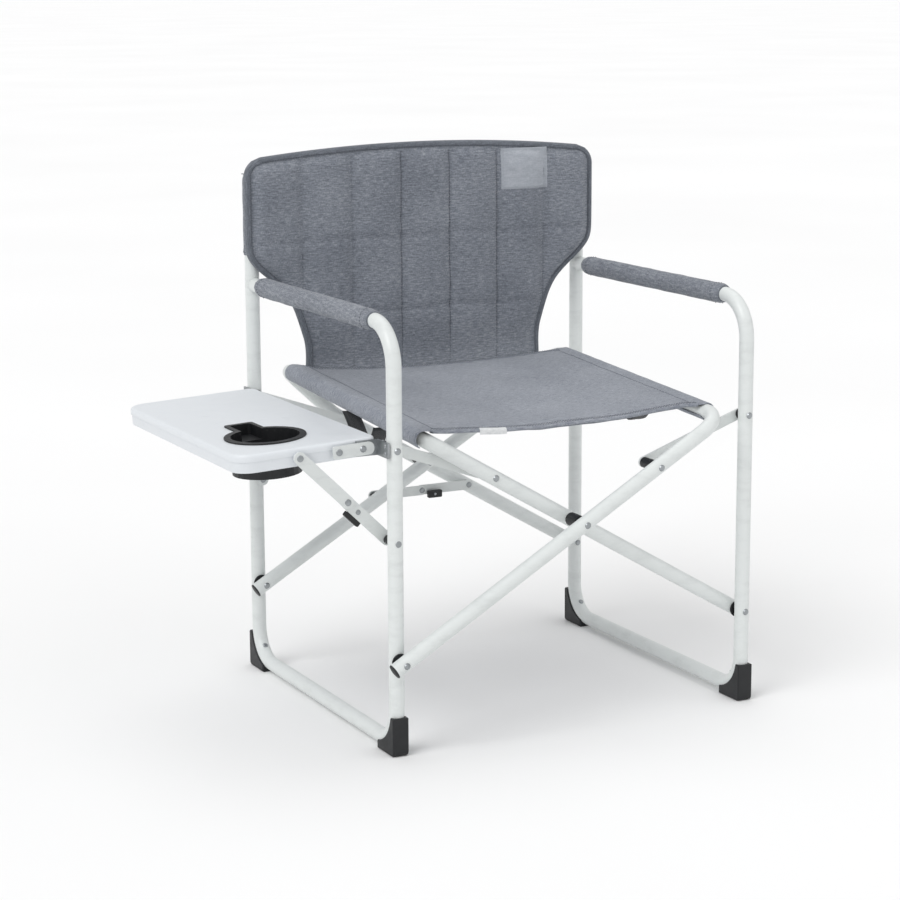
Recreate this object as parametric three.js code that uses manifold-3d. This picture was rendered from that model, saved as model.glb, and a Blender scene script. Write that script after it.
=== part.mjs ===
// Folding camp chair with a side table.
// Millimetres, +Z up. The chair faces -Y and the table is on its -X side.
// The origin is on the floor, under the middle of the whole object with its table out.
//
// Each side frame is one bent tube. Two U-shaped seat tubes cross under the seat: each one carries
// the seat rail on its own side and is hinged to the two posts on the far side. Short links tie the
// posts to the seat tubes, and a two-part stay behind the seat locks the cross open.

import * as THREE from "three";
import { mergeVertices } from "three/addons/utils/BufferGeometryUtils.js";
import Module from "manifold-3d";

const wasm = await Module();
wasm.setup();

// ---------------------------------------------------------------- driving dimensions

const TUBE_R = 11; // frame tube, 22 mm steel
const TUBE_WALL = 1.2;
const GAP = 0.3; // running gap between touching pieces
const POST_X = 288; // post axes, left and right of the middle
const POST_Y = 254; // post axes, in front of and behind the middle
const POST_TOP = 780; // top end of a rear post, inside the backrest
const ARM_Z = 611;
const BASE_Z = 15;
const BASE_BEND = 52;
const ARM_BEND = 60;

const LEG_OFFSET = 24.5; // from a post's axis to the axis of a leg beside it
const LOWER_PIVOT_Z = 138;
const UPPER_PIVOT_Z = 438;
const CROSS_Z = 307.5;
const LEG_TAIL = 16; // leg below its lower pivot
const LEG_LINK_AT = 476; // along a leg from its lower pivot to its link pivot
const REAR_KINK_AT = 500; // along a rear leg to the bend that lifts the rear of the seat
const KINK_BEND = 60;
const RAIL_X = 230;
const RAIL_BEND = 38;
const RAIL_RISE = 30; // the rail is this much higher at the rear

const PIN_R = 3;
const PIN_HOLE_R = 3.7;
const PIN_HEAD_R = 5;
const PIN_HEAD = 1.6;
const LINK_HALF_WIDTH = 7.8;
const LINK_THICK = 4;
const STRAP_THICK = 3; // flat steel of the stay, the brace and the table's side bars
const SPACER_R = 10;
const THIN_SPACER_R = 12.5;
const LONG_SPACER_R = 8;

const TABLE_HINGE = { x: -325, z: 439.5 };
const TABLE_DROOP = THREE.MathUtils.degToRad(2.9);
const TABLE_INNER = 24.5; // from the hinge axis to the table's edge beside the chair
const TABLE_OUTER = -185.2;
const TABLE_HALF_LENGTH = 225;
const TABLE_TOP = 13.9; // top face above the hinge axis
const TABLE_HEIGHT = 26;
const TABLE_WALL = 3;
const BRACE_AT_TABLE = -94.5; // from the hinge axis to the brace's pivot on the table
const BRACE_FOOT = { x: -POST_X, z: 307 };
const BRACE_LOWER_LENGTH = 85;
const BRACE_HALF_WIDTH = 9;

const CUP = { x: -101, y: -125, rimR: 58, wallR: 51, floorR: 49.5, depth: 51 };
const SLOT_X = CUP.x - 2; // middle of the slot for a mug's handle

const PAD_FRONT = -192;
const PAD_REAR = 214;
const PAD_R = 15;

const SIDES = { left: -1, right: 1 };
const ENDS = { front: -1, rear: 1 };

const legAngle = Math.atan2(CROSS_Z - LOWER_PIVOT_Z, POST_X);
const RAIL_FRONT_Z = LOWER_PIVOT_Z + (POST_X + RAIL_X) * Math.tan(legAngle);

// ---------------------------------------------------------------- materials

const paint = new THREE.MeshStandardMaterial({ color: "#dfe2e3", roughness: 0.38, metalness: 0.1 });
const zinc = new THREE.MeshStandardMaterial({ color: "#a9adb0", roughness: 0.32, metalness: 0.9 });
const blackPlastic = new THREE.MeshStandardMaterial({ color: "#17191b", roughness: 0.55, metalness: 0 });
const whitePlastic = new THREE.MeshStandardMaterial({ color: "#e4e7e9", roughness: 0.45, metalness: 0 });
const cloth = new THREE.MeshStandardMaterial({ color: "#7f848d", roughness: 0.95, metalness: 0 });
const webbing = new THREE.MeshStandardMaterial({ color: "#1c1e21", roughness: 0.9, metalness: 0 });

// ---------------------------------------------------------------- shape helpers

const vec = (x, y, z) => new THREE.Vector3(x, y, z);

function circlePoints(radius, sides, centreX = 0, centreY = 0) {
  return Array.from({ length: sides }, (_, i) => {
    const angle = ((i + 0.5) / sides) * 2 * Math.PI;
    return new THREE.Vector2(centreX + radius * Math.cos(angle), centreY + radius * Math.sin(angle));
  });
}

// A route through corner points with rounded corners: one step on each straight, several in each bend.
class BentRoute extends THREE.Curve {
  constructor(corners, radii, stepsPerBend = 5) {
    super();
    const direction = (i) => corners[i + 1].clone().sub(corners[i]).normalize();
    this.stations = [[corners[0], direction(0)]];
    for (let i = 1; i < corners.length - 1; i++) {
      const before = direction(i - 1);
      const after = direction(i);
      const turn = before.angleTo(after);
      const inward = after.clone().addScaledVector(before, -after.dot(before)).normalize();
      const start = corners[i].clone().addScaledVector(before, -radii[i - 1] * Math.tan(turn / 2));
      for (let k = 0; k <= stepsPerBend; k++) {
        const angle = (turn * k) / stepsPerBend;
        const point = start
          .clone()
          .addScaledVector(before, radii[i - 1] * Math.sin(angle))
          .addScaledVector(inward, radii[i - 1] * (1 - Math.cos(angle)));
        const tangent = before.clone().multiplyScalar(Math.cos(angle));
        this.stations.push([point, tangent.addScaledVector(inward, Math.sin(angle)).normalize()]);
      }
    }
    this.stations.push([corners.at(-1), direction(corners.length - 2)]);
  }
  get steps() {
    return this.stations.length - 1;
  }
  getPointAt(u, target = new THREE.Vector3()) {
    return target.copy(this.stations[Math.round(u * this.steps)][0]);
  }
  getTangentAt(u, target = new THREE.Vector3()) {
    return target.copy(this.stations[Math.round(u * this.steps)][1]);
  }
}

function tubeAlong(route, radius, wall, sides = 12) {
  const section = new THREE.Shape(circlePoints(radius, sides));
  section.holes.push(new THREE.Path(circlePoints(radius - wall, 8)));
  return new THREE.ExtrudeGeometry(section, { steps: route.steps, extrudePath: route });
}

// A plate drawn in X and Z that fills the space between two Y values.
function plate(shape, yLow, yHigh, curveSegments = 6) {
  const depth = yHigh - yLow;
  const geometry = new THREE.ExtrudeGeometry(shape, { depth, bevelEnabled: false, curveSegments });
  return geometry.rotateX(Math.PI / 2).translate(0, yHigh, 0);
}

// A turned piece about the Y axis: points are [radius, y] from one end to the other.
function turned(points, sides = 10) {
  return new THREE.LatheGeometry(points.map(([r, y]) => new THREE.Vector2(r, y)), sides);
}

function rivet(yLow, yHigh) {
  return turned([
    [0, yLow],
    [PIN_HEAD_R * 0.7, yLow],
    [PIN_HEAD_R, yLow + PIN_HEAD],
    [PIN_R, yLow + PIN_HEAD],
    [PIN_R, yHigh - PIN_HEAD],
    [PIN_HEAD_R, yHigh - PIN_HEAD],
    [PIN_HEAD_R * 0.7, yHigh],
    [0, yHigh],
  ]);
}

// A rivet with one head, at yHead, whose shank ends flush at yTail.
function stud(yHead, yTail) {
  const inward = Math.sign(yTail - yHead);
  const points = [
    [0, yHead],
    [PIN_HEAD_R * 0.7, yHead],
    [PIN_HEAD_R, yHead + inward * PIN_HEAD],
    [PIN_R, yHead + inward * PIN_HEAD],
    [PIN_R, yTail],
    [0, yTail],
  ];
  return turned(inward > 0 ? points : points.reverse());
}

function washer(yLow, yHigh, outerR = SPACER_R) {
  const ring = new THREE.Shape(circlePoints(outerR, 16));
  ring.holes.push(new THREE.Path(circlePoints(PIN_HOLE_R, 8)));
  return plate(ring, yLow, yHigh);
}

// A flat bar with round ends, lying along +X from its first pivot, with a hole at each listed place.
function flatBar(length, halfWidth, yLow, yHigh, holesAt) {
  const outline = new THREE.Shape();
  outline.absarc(0, 0, halfWidth, Math.PI / 2, (3 * Math.PI) / 2);
  outline.absarc(length, 0, halfWidth, -Math.PI / 2, Math.PI / 2);
  for (const at of holesAt) outline.holes.push(new THREE.Path(circlePoints(PIN_HOLE_R, 8, at)));
  return plate(outline, yLow, yHigh, 5);
}

function roundedRect(xLow, zLow, xHigh, zHigh, radii) {
  const [r1, r2, r3, r4] = radii; // low-low, high-low, high-high, low-high
  const shape = new THREE.Shape();
  shape.absarc(xHigh - r2, zLow + r2, r2, -Math.PI / 2, 0);
  shape.absarc(xHigh - r3, zHigh - r3, r3, 0, Math.PI / 2);
  shape.absarc(xLow + r4, zHigh - r4, r4, Math.PI / 2, Math.PI);
  shape.absarc(xLow + r1, zLow + r1, r1, Math.PI, (3 * Math.PI) / 2);
  return shape;
}

function toSolid(geometry) {
  const bare = geometry.clone();
  bare.deleteAttribute("normal");
  bare.deleteAttribute("uv");
  const merged = mergeVertices(bare, 1e-3);
  return new wasm.Manifold(
    new wasm.Mesh({
      numProp: 3,
      vertProperties: new Float32Array(merged.attributes.position.array),
      triVerts: new Uint32Array(merged.index.array),
    }),
  );
}

function toGeometry(solid) {
  const mesh = solid.getMesh();
  const geometry = new THREE.BufferGeometry();
  geometry.setAttribute("position", new THREE.BufferAttribute(mesh.vertProperties, 3));
  geometry.setIndex(new THREE.BufferAttribute(mesh.triVerts, 1));
  geometry.computeVertexNormals();
  return geometry;
}

function cut(geometry, tools) {
  return toGeometry(tools.reduce((solid, tool) => solid.subtract(toSolid(tool)), toSolid(geometry)));
}

function join(first, others) {
  return toGeometry(others.reduce((solid, other) => solid.add(toSolid(other)), toSolid(first)));
}

// A pin hole's cutting tool, along Y through the point (x, z), from yLow to yHigh.
function pinHole(x, z, yLow, yHigh) {
  const geometry = new THREE.CylinderGeometry(PIN_HOLE_R, PIN_HOLE_R, yHigh - yLow, 8);
  return geometry.translate(x, (yLow + yHigh) / 2, z);
}

// ---------------------------------------------------------------- assembly

const chair = new THREE.Group();

function add(name, geometry, material, parent = chair) {
  const mesh = new THREE.Mesh(geometry, material);
  mesh.name = name;
  parent.add(mesh);
  return mesh;
}

// Places a piece made along +X at a pivot, turned by an angle from +X towards +Z.
function addTurned(name, geometry, material, x, z, angle, parent = chair) {
  const mesh = add(name, geometry, material, parent);
  mesh.position.set(x, 0, z);
  mesh.rotation.y = -angle;
  return mesh;
}

// ---------------------------------------------------------------- side frames

function sideFrame(x) {
  const route = new BentRoute(
    [
      vec(x, POST_Y, POST_TOP),
      vec(x, POST_Y, BASE_Z),
      vec(x, -POST_Y, BASE_Z),
      vec(x, -POST_Y, ARM_Z),
      vec(x, POST_Y - TUBE_R - 0.5, ARM_Z),
    ],
    [BASE_BEND, BASE_BEND, ARM_BEND],
  );
  const holes = [];
  for (const end of Object.values(ENDS)) {
    const middle = end * POST_Y;
    for (const z of [LOWER_PIVOT_Z, UPPER_PIVOT_Z]) {
      holes.push(pinHole(x, z, middle - 2 * TUBE_R, middle + 2 * TUBE_R));
    }
  }
  return cut(tubeAlong(route, TUBE_R, TUBE_WALL), holes);
}

// A corner boot fills the outside of a base bend and grips the outer part of the tube.
function foot(x, end) {
  const outerY = POST_Y + TUBE_R + 1.8;
  const width = 25;
  const height = 56;
  const innerY = 213;
  const gripR = BASE_BEND + TUBE_R - 7;
  const bendY = POST_Y - BASE_BEND;
  const bendZ = BASE_Z + BASE_BEND;
  const profile = new THREE.Shape();
  profile.moveTo(innerY, 0);
  profile.lineTo(outerY - 6, 0);
  profile.absarc(outerY - 6, 6, 6, -Math.PI / 2, 0);
  profile.lineTo(outerY, height);
  const topAngle = -Math.asin((bendZ - height) / gripR);
  const toeAngle = -Math.acos((innerY - bendY) / gripR);
  profile.absarc(bendY, bendZ, gripR, topAngle, toeAngle, true);
  const block = new THREE.ExtrudeGeometry(profile, {
    depth: width - 3,
    bevelEnabled: true,
    bevelThickness: 1.5,
    bevelSize: 1.5,
    bevelOffset: -1.5,
    bevelSegments: 1,
    curveSegments: 5,
  });
  // The profile's X runs outward along Y, its Y is up, and its depth runs along X.
  block.translate(0, 0, -(width - 3) / 2);
  block.applyMatrix4(new THREE.Matrix4().makeBasis(vec(0, 1, 0), vec(0, 0, 1), vec(1, 0, 0)));
  if (end < 0) block.rotateZ(Math.PI);
  block.translate(x, 0, 0);
  const groove = new BentRoute(
    [
      vec(x, end * POST_Y, 160),
      vec(x, end * POST_Y, BASE_Z),
      vec(x, 0, BASE_Z),
    ],
    [BASE_BEND],
  );
  const tool = new THREE.ExtrudeGeometry(new THREE.Shape(circlePoints(TUBE_R + 0.35, 12)), {
    steps: groove.steps,
    extrudePath: groove,
  });
  return cut(block, [tool]);
}

function armPad(x) {
  const sleeve = new THREE.Shape(circlePoints(PAD_R, 16));
  sleeve.holes.push(new THREE.Path(circlePoints(TUBE_R + 0.6, 12)));
  return plate(sleeve, PAD_FRONT, PAD_REAR).translate(x, 0, ARM_Z);
}

for (const [side, sign] of Object.entries(SIDES)) {
  const x = sign * POST_X;
  add(`${side}_side_frame`, sideFrame(x), paint);
  add(`${side}_arm_pad`, armPad(x), cloth);
  for (const [end, endSign] of Object.entries(ENDS)) {
    add(`${side}_${end}_foot`, foot(x, endSign), blackPlastic);
  }
}

// ---------------------------------------------------------------- seat tubes

// The right seat tube hinges in front of its posts' axes by LEG_OFFSET, the left one behind them.
const legY = (sign, end) => end * POST_Y - sign * LEG_OFFSET;

// A point on a seat tube's leg, at a distance from its lower pivot. sign is the side of its rail.
function onLeg(sign, end, along) {
  const x = sign * (along * Math.cos(legAngle) - POST_X);
  return vec(x, legY(sign, end), LOWER_PIVOT_Z + along * Math.sin(legAngle));
}

function seatTube(sign) {
  const route = new BentRoute(
    [
      onLeg(sign, -1, -LEG_TAIL),
      vec(sign * RAIL_X, legY(sign, -1), RAIL_FRONT_Z),
      vec(sign * RAIL_X, legY(sign, 1), RAIL_FRONT_Z + RAIL_RISE),
      onLeg(sign, 1, REAR_KINK_AT),
      onLeg(sign, 1, -LEG_TAIL),
    ],
    [RAIL_BEND, RAIL_BEND, KINK_BEND],
  );
  const crossAt = POST_X / Math.cos(legAngle);
  const holes = [];
  for (const end of [-1, 1]) {
    for (const along of [0, crossAt, LEG_LINK_AT]) {
      const at = onLeg(sign, end, along);
      holes.push(pinHole(at.x, at.z, at.y - 2 * TUBE_R, at.y + 2 * TUBE_R));
    }
  }
  return cut(tubeAlong(route, TUBE_R, TUBE_WALL), holes);
}

for (const [side, sign] of Object.entries(SIDES)) add(`${side}_seat_tube`, seatTube(sign), paint);

// The height of a rail's axis at a place along Y.
const railZ = (sign, y) => RAIL_FRONT_Z + (RAIL_RISE * (y - legY(sign, -1))) / (2 * POST_Y);

// ---------------------------------------------------------------- pivots of the cross

for (const [side, sign] of Object.entries(SIDES)) {
  for (const [end, endSign] of Object.entries(ENDS)) {
    const x = sign * POST_X;
    const post = endSign * POST_Y;
    // The leg hinged to this post belongs to the seat tube of the other side.
    const lowerLeg = legY(-sign, endSign);
    const low = Math.min(post, lowerLeg);
    const high = Math.max(post, lowerLeg);
    const lowerRivet = rivet(low - TUBE_R - PIN_HEAD, high + TUBE_R + PIN_HEAD);
    add(`${side}_${end}_lower_rivet`, lowerRivet.translate(x, 0, LOWER_PIVOT_Z), zinc);
    const lowerSpacer = washer(low + TUBE_R + GAP, high - TUBE_R - GAP, THIN_SPACER_R);
    add(`${side}_${end}_lower_spacer`, lowerSpacer.translate(x, 0, LOWER_PIVOT_Z), blackPlastic);

    // The link joins this post to the leg of this side's seat tube, on the chair's inner side of both.
    const upperLeg = legY(sign, endSign);
    const innerFace = (y) => y - endSign * TUBE_R;
    const legIsInside = Math.abs(upperLeg) < POST_Y;
    const linkFace = legIsInside ? innerFace(upperLeg) - endSign * GAP : innerFace(post) - endSign * 2.5;
    const linkBack = linkFace - endSign * LINK_THICK;
    const [linkLow, linkHigh] = [linkFace, linkBack].sort((a, b) => a - b);
    const pivot = onLeg(sign, endSign, LEG_LINK_AT);
    const length = Math.hypot(pivot.x - x, pivot.z - UPPER_PIVOT_Z);
    const angle = Math.atan2(pivot.z - UPPER_PIVOT_Z, pivot.x - x);
    const link = flatBar(length, LINK_HALF_WIDTH, linkLow, linkHigh, [0, length]);
    addTurned(`${side}_${end}_link`, link, paint, x, UPPER_PIVOT_Z, angle);

    const [upperLow, upperHigh] = [
      post + endSign * (TUBE_R + PIN_HEAD),
      linkBack - endSign * PIN_HEAD,
    ].sort((a, b) => a - b);
    add(`${side}_${end}_upper_rivet`, rivet(upperLow, upperHigh).translate(x, 0, UPPER_PIVOT_Z), zinc);

    // The rivet in the leg stops at the link's face, so this pivot is left free.
    const legSpacerEnd = linkFace + endSign * GAP;
    const legRivet = stud(upperLeg + endSign * (TUBE_R + PIN_HEAD), legSpacerEnd);
    add(`${side}_${end}_leg_rivet`, legRivet.translate(pivot.x, 0, pivot.z), zinc);

    const [spacerFrom, spacerTo] = legIsInside
      ? [innerFace(post) - endSign * GAP, linkFace + endSign * GAP]
      : [innerFace(upperLeg) - endSign * GAP, legSpacerEnd];
    const [spacerLow, spacerHigh] = [spacerFrom, spacerTo].sort((a, b) => a - b);
    const longSpacer = washer(spacerLow, spacerHigh, LONG_SPACER_R);
    const spacerAt = legIsInside ? vec(x, 0, UPPER_PIVOT_Z) : vec(pivot.x, 0, pivot.z);
    add(`${side}_${end}_link_spacer`, longSpacer.translate(spacerAt.x, 0, spacerAt.z), blackPlastic);
  }
}

for (const [end, endSign] of Object.entries(ENDS)) {
  const [low, high] = [legY(-1, endSign), legY(1, endSign)].sort((a, b) => a - b);
  const crossRivet = rivet(low - TUBE_R - PIN_HEAD, high + TUBE_R + PIN_HEAD);
  add(`${end}_cross_rivet`, crossRivet.translate(0, 0, CROSS_Z), zinc);
  const crossSpacer = washer(low + TUBE_R + GAP, high - TUBE_R - GAP);
  add(`${end}_cross_spacer`, crossSpacer.translate(0, 0, CROSS_Z), blackPlastic);
}

// ---------------------------------------------------------------- rear stay

const STAY_Z = 256;
const STAY_HALF_WIDTH = 7.8;
const STAY_X = ((STAY_Z - LOWER_PIVOT_Z) / Math.tan(legAngle) - POST_X) * -1;
const stayYLeft = 250.5;
const stayYRight = stayYLeft + STRAP_THICK + GAP;

const leftStay = flatBar(STAY_X, STAY_HALF_WIDTH, stayYLeft, stayYLeft + STRAP_THICK, [0, STAY_X]);
add("left_stay", leftStay, paint).position.set(-STAY_X, 0, STAY_Z);
const rightStay = flatBar(STAY_X, STAY_HALF_WIDTH, stayYRight, stayYRight + STRAP_THICK, [0, STAY_X]);
addTurned("right_stay", rightStay, paint, STAY_X, STAY_Z, Math.PI);

const tabShape = roundedRect(9, -13, 34, -1, [2, 2, 2, 2]);
const stayTab = plate(tabShape, stayYLeft - 5, stayYLeft - GAP, 2);
add("stay_release_tab", stayTab, blackPlastic).position.z = STAY_Z;

// ---------------------------------------------------------------- side table

const table = new THREE.Group();
table.position.set(TABLE_HINGE.x, 0, TABLE_HINGE.z);
table.rotation.y = -TABLE_DROOP;
chair.add(table);

// A flat layer of the table between two heights, from a shape drawn in X and Y.
function layer(shape, zLow, zHigh, curveSegments = 5) {
  const depth = zHigh - zLow;
  const geometry = new THREE.ExtrudeGeometry(shape, { depth, bevelEnabled: false, curveSegments });
  return geometry.translate(0, 0, zLow);
}

// The cup holder's outline grown by an amount: a circle with a slot for a mug's handle.
function cupLayer(radius, slotHalfWidth, slotReach, zLow, zHigh) {
  const round = new THREE.CylinderGeometry(radius, radius, zHigh - zLow, 28);
  round.rotateX(Math.PI / 2).translate(CUP.x, CUP.y, (zLow + zHigh) / 2);
  const slot = roundedRect(
    SLOT_X - slotHalfWidth,
    CUP.y,
    SLOT_X + slotHalfWidth,
    CUP.y + CUP.wallR + slotReach,
    [1, 1, 5, 5],
  );
  return join(round, [layer(slot, zLow, zHigh, 3)]);
}

const tableOuter = [30, 14, 14, 30];
const tableShape = roundedRect(TABLE_OUTER, -TABLE_HALF_LENGTH, TABLE_INNER, TABLE_HALF_LENGTH, tableOuter);
const tableInside = roundedRect(
  TABLE_OUTER + TABLE_WALL,
  -TABLE_HALF_LENGTH + TABLE_WALL,
  TABLE_INNER - TABLE_WALL,
  TABLE_HALF_LENGTH - TABLE_WALL,
  tableOuter.map((r) => r - TABLE_WALL),
);
const tableBottom = TABLE_TOP - TABLE_HEIGHT;
add(
  "table_top",
  cut(layer(tableShape, tableBottom, TABLE_TOP), [
    layer(tableInside, tableBottom - 1, TABLE_TOP - TABLE_WALL),
    cupLayer(CUP.wallR + 0.6, 18.6, 42.6, TABLE_TOP - 10, TABLE_TOP + 1),
  ]),
  whitePlastic,
  table,
);

const cupFloor = TABLE_TOP - CUP.depth;
const slotFloor = TABLE_TOP - 16;
add(
  "cup_holder",
  cut(
    join(cupLayer(CUP.rimR, 22, 48, TABLE_TOP + GAP, TABLE_TOP + 2.2), [
      new THREE.CylinderGeometry(CUP.wallR, CUP.floorR, CUP.depth + 1, 28)
        .rotateX(Math.PI / 2)
        .translate(CUP.x, CUP.y, cupFloor + (CUP.depth + 1) / 2),
      cupLayer(CUP.floorR, 18, 42, slotFloor, TABLE_TOP + 1),
    ]),
    [
      new THREE.CylinderGeometry(CUP.wallR - 2.2, CUP.floorR - 2.2, CUP.depth + 4, 28)
        .rotateX(Math.PI / 2)
        .translate(CUP.x, CUP.y, cupFloor + 2.2 + (CUP.depth + 4) / 2),
      cupLayer(CUP.floorR - 2.2, 15.8, 39.8, slotFloor + 2.2, TABLE_TOP + 4),
    ],
  ),
  blackPlastic,
  table,
);

for (const [end, endSign] of Object.entries(ENDS)) {
  // Two layers outside the table's skirt, each as [low y, high y].
  const layerAt = (from) => [endSign * from, endSign * (from + STRAP_THICK)].sort((a, b) => a - b);
  const nearSkirt = layerAt(TABLE_HALF_LENGTH + 0.6);
  const outermost = layerAt(TABLE_HALF_LENGTH + 4);

  // The bracket's plate is between the skirt and the side bar, and its tab lies on the post.
  const plateY = TABLE_HALF_LENGTH + 0.6;
  const tabX = -POST_X - TUBE_R - GAP;
  const bracketShape = new THREE.Shape(
    [
      [TABLE_HINGE.x - 9, plateY],
      [tabX, plateY],
      [tabX, POST_Y + 9],
      [tabX - STRAP_THICK, POST_Y + 9],
      [tabX - STRAP_THICK, plateY + STRAP_THICK],
      [TABLE_HINGE.x - 9, plateY + STRAP_THICK],
    ].map(([x, y]) => new THREE.Vector2(x, endSign * y)),
  );
  const bracket = layer(bracketShape, TABLE_HINGE.z - 11, TABLE_HINGE.z + 11);
  const bracketHole = pinHole(TABLE_HINGE.x, TABLE_HINGE.z, nearSkirt[0] - 5, nearSkirt[1] + 5);
  add(`table_${end}_bracket`, cut(bracket, [bracketHole]), zinc);

  const barOutline = roundedRect(-45, -9, 17, 9, [3, 8, 8, 3]);
  barOutline.holes.push(new THREE.Path(circlePoints(PIN_HOLE_R, 8)));
  add(`table_${end}_side_bar`, plate(barOutline, ...outermost, 3), paint, table);

  const pinHead = endSign * (TABLE_HALF_LENGTH + 4 + STRAP_THICK + PIN_HEAD);
  const hingePin = stud(pinHead, endSign * (TABLE_HALF_LENGTH + 0.4));
  add(`table_${end}_hinge_pin`, hingePin, zinc, table);

  // The brace: a lower strap from the post and an upper strap from the table, straight when locked.
  const topX = TABLE_HINGE.x + BRACE_AT_TABLE * Math.cos(TABLE_DROOP);
  const topZ = TABLE_HINGE.z + BRACE_AT_TABLE * Math.sin(TABLE_DROOP);
  const braceAngle = Math.atan2(topZ - BRACE_FOOT.z, topX - BRACE_FOOT.x);
  const whole = Math.hypot(topZ - BRACE_FOOT.z, topX - BRACE_FOOT.x);
  const lower = flatBar(BRACE_LOWER_LENGTH, BRACE_HALF_WIDTH, ...nearSkirt, [0, BRACE_LOWER_LENGTH]);
  addTurned(`table_${end}_brace_lower`, lower, paint, BRACE_FOOT.x, BRACE_FOOT.z, braceAngle);
  const upperLength = whole - BRACE_LOWER_LENGTH;
  const upper = flatBar(upperLength, BRACE_HALF_WIDTH, ...outermost, [0, upperLength]);
  addTurned(`table_${end}_brace_upper`, upper, paint, topX, topZ, braceAngle + Math.PI);

  // The release tab is on the lower strap's underside, next to the middle pivot.
  const tabOutline = roundedRect(
    BRACE_LOWER_LENGTH - 37,
    BRACE_HALF_WIDTH + GAP,
    BRACE_LOWER_LENGTH - 9,
    BRACE_HALF_WIDTH + 7.5,
    [1, 1, 2, 2],
  );
  const tabY = [endSign * (TABLE_HALF_LENGTH - 3), endSign * (TABLE_HALF_LENGTH + 3.6)].sort((a, b) => a - b);
  const tab = plate(tabOutline, ...tabY, 2);
  addTurned(`table_${end}_brace_tab`, tab, blackPlastic, BRACE_FOOT.x, BRACE_FOOT.z, braceAngle);
}

// ---------------------------------------------------------------- soft goods

// The seat: one sheet between two rail sleeves, drawn across X, then fitted between the rails, which are offset.
function seatCloth() {
  const sleeveR = TUBE_R + 2.6;
  const sag = 9;
  const thick = 4;
  const halfLength = 208;
  const skirtAngle = THREE.MathUtils.degToRad(140);
  const sheetZ = (x) => sleeveR - sag * (1 - (x / RAIL_X) ** 2);
  const outline = [];
  for (let i = 0; i <= 12; i++) {
    const x = -RAIL_X + (2 * RAIL_X * i) / 12;
    outline.push(new THREE.Vector2(x, sheetZ(x)));
  }
  const around = (sign) => {
    const arc = [];
    for (let i = 1; i <= 8; i++) {
      const angle = Math.PI / 2 - ((2 * Math.PI - skirtAngle + Math.PI / 2) * i) / 8;
      arc.push(new THREE.Vector2(sign * (RAIL_X + sleeveR * Math.cos(angle)), sleeveR * Math.sin(angle)));
    }
    return arc;
  };
  outline.push(...around(1));
  for (let i = 1; i < 12; i++) {
    const x = RAIL_X - (2 * RAIL_X * i) / 12;
    outline.push(new THREE.Vector2(x, sheetZ(x) - thick));
  }
  outline.push(...around(-1).reverse());
  const shape = new THREE.Shape(outline);
  for (const sign of [-1, 1]) {
    shape.holes.push(new THREE.Path(circlePoints(TUBE_R + 0.5, 12, sign * RAIL_X)));
  }
  const geometry = plate(shape, -halfLength, halfLength);
  const position = geometry.attributes.position;
  for (let i = 0; i < position.count; i++) {
    const [x, y, z] = [position.getX(i), position.getY(i), position.getZ(i)];
    const across = (x + RAIL_X) / (2 * RAIL_X);
    const front = THREE.MathUtils.lerp(-190, -224, across);
    const rear = THREE.MathUtils.lerp(212, 186, across);
    const placedY = THREE.MathUtils.lerp(front, rear, (y + halfLength) / (2 * halfLength));
    position.setXYZ(i, x, placedY, z + railZ(x / RAIL_X, placedY));
  }
  return geometry;
}

add("seat_cloth", seatCloth(), cloth);

// The backrest: a padded panel with an arched top and waisted sides, and a sleeve round each post.
function backrest() {
  // Half of the outline, from the middle of the top edge clockwise to the foot of the panel.
  const half = [
    [0, 822],
    [105, 820],
    [204, 814],
    [267, 806],
    [291, 800],
    [304, 784],
    [304, 665],
    [296, 645],
    [269, 621],
    [237, 591],
    [216, 545],
    [206.5, 515],
    [205, 490],
  ];
  const outline = [...half, ...half.slice(1).reverse().map(([x, z]) => [-x, z])];
  const panel = new THREE.Shape(outline.map(([x, z]) => new THREE.Vector2(x, z)));
  const body = plate(panel, POST_Y - TUBE_R - 14, POST_Y - TUBE_R - 0.4);
  const sleeves = Object.values(SIDES).map((sign) => {
    const ring = new THREE.Shape(circlePoints(13.4, 16, sign * POST_X, POST_Y));
    ring.holes.push(new THREE.Path(circlePoints(TUBE_R + 0.5, 12, sign * POST_X, POST_Y)));
    return layer(ring, 668, 783);
  });
  return join(body, sleeves);
}

add("backrest", backrest(), cloth);

// A webbing carry loop hangs from the underside of each rail sleeve.
function carryLoop(sign) {
  const halfSpan = 56;
  const drop = 43;
  const thick = 2.4;
  const middleY = -26 + sign * 6;
  const band = [];
  const lower = [];
  for (let i = 0; i <= 10; i++) {
    const t = i / 5 - 1;
    const y = middleY + halfSpan * t;
    const z = railZ(sign, y) - TUBE_R - 3.4 - drop * (1 - t * t);
    band.push(new THREE.Vector2(y, z));
    lower.unshift(new THREE.Vector2(y + thick * t, z - thick));
  }
  const width = 25;
  const ribbon = new THREE.ExtrudeGeometry(new THREE.Shape([...band, ...lower]), {
    depth: width,
    bevelEnabled: false,
  });
  ribbon.applyMatrix4(new THREE.Matrix4().makeBasis(vec(0, 1, 0), vec(0, 0, 1), vec(1, 0, 0)));
  return ribbon.translate(sign * RAIL_X - width / 2, 0, 0);
}

for (const [side, sign] of Object.entries(SIDES)) add(`${side}_carry_loop`, carryLoop(sign), webbing);

// Centre the whole object on the origin in X.
const object = new THREE.Group();
object.add(chair);
const extent = new THREE.Box3().setFromObject(chair, true);
chair.position.x = -(extent.min.x + extent.max.x) / 2;

export default object;
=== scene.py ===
"""Looks of a folding camp chair with a side table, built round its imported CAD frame."""

import math

import bmesh
import bpy
import numpy as np
from mathutils import Matrix, Vector, noise
from mathutils.bvhtree import BVHTree


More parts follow.
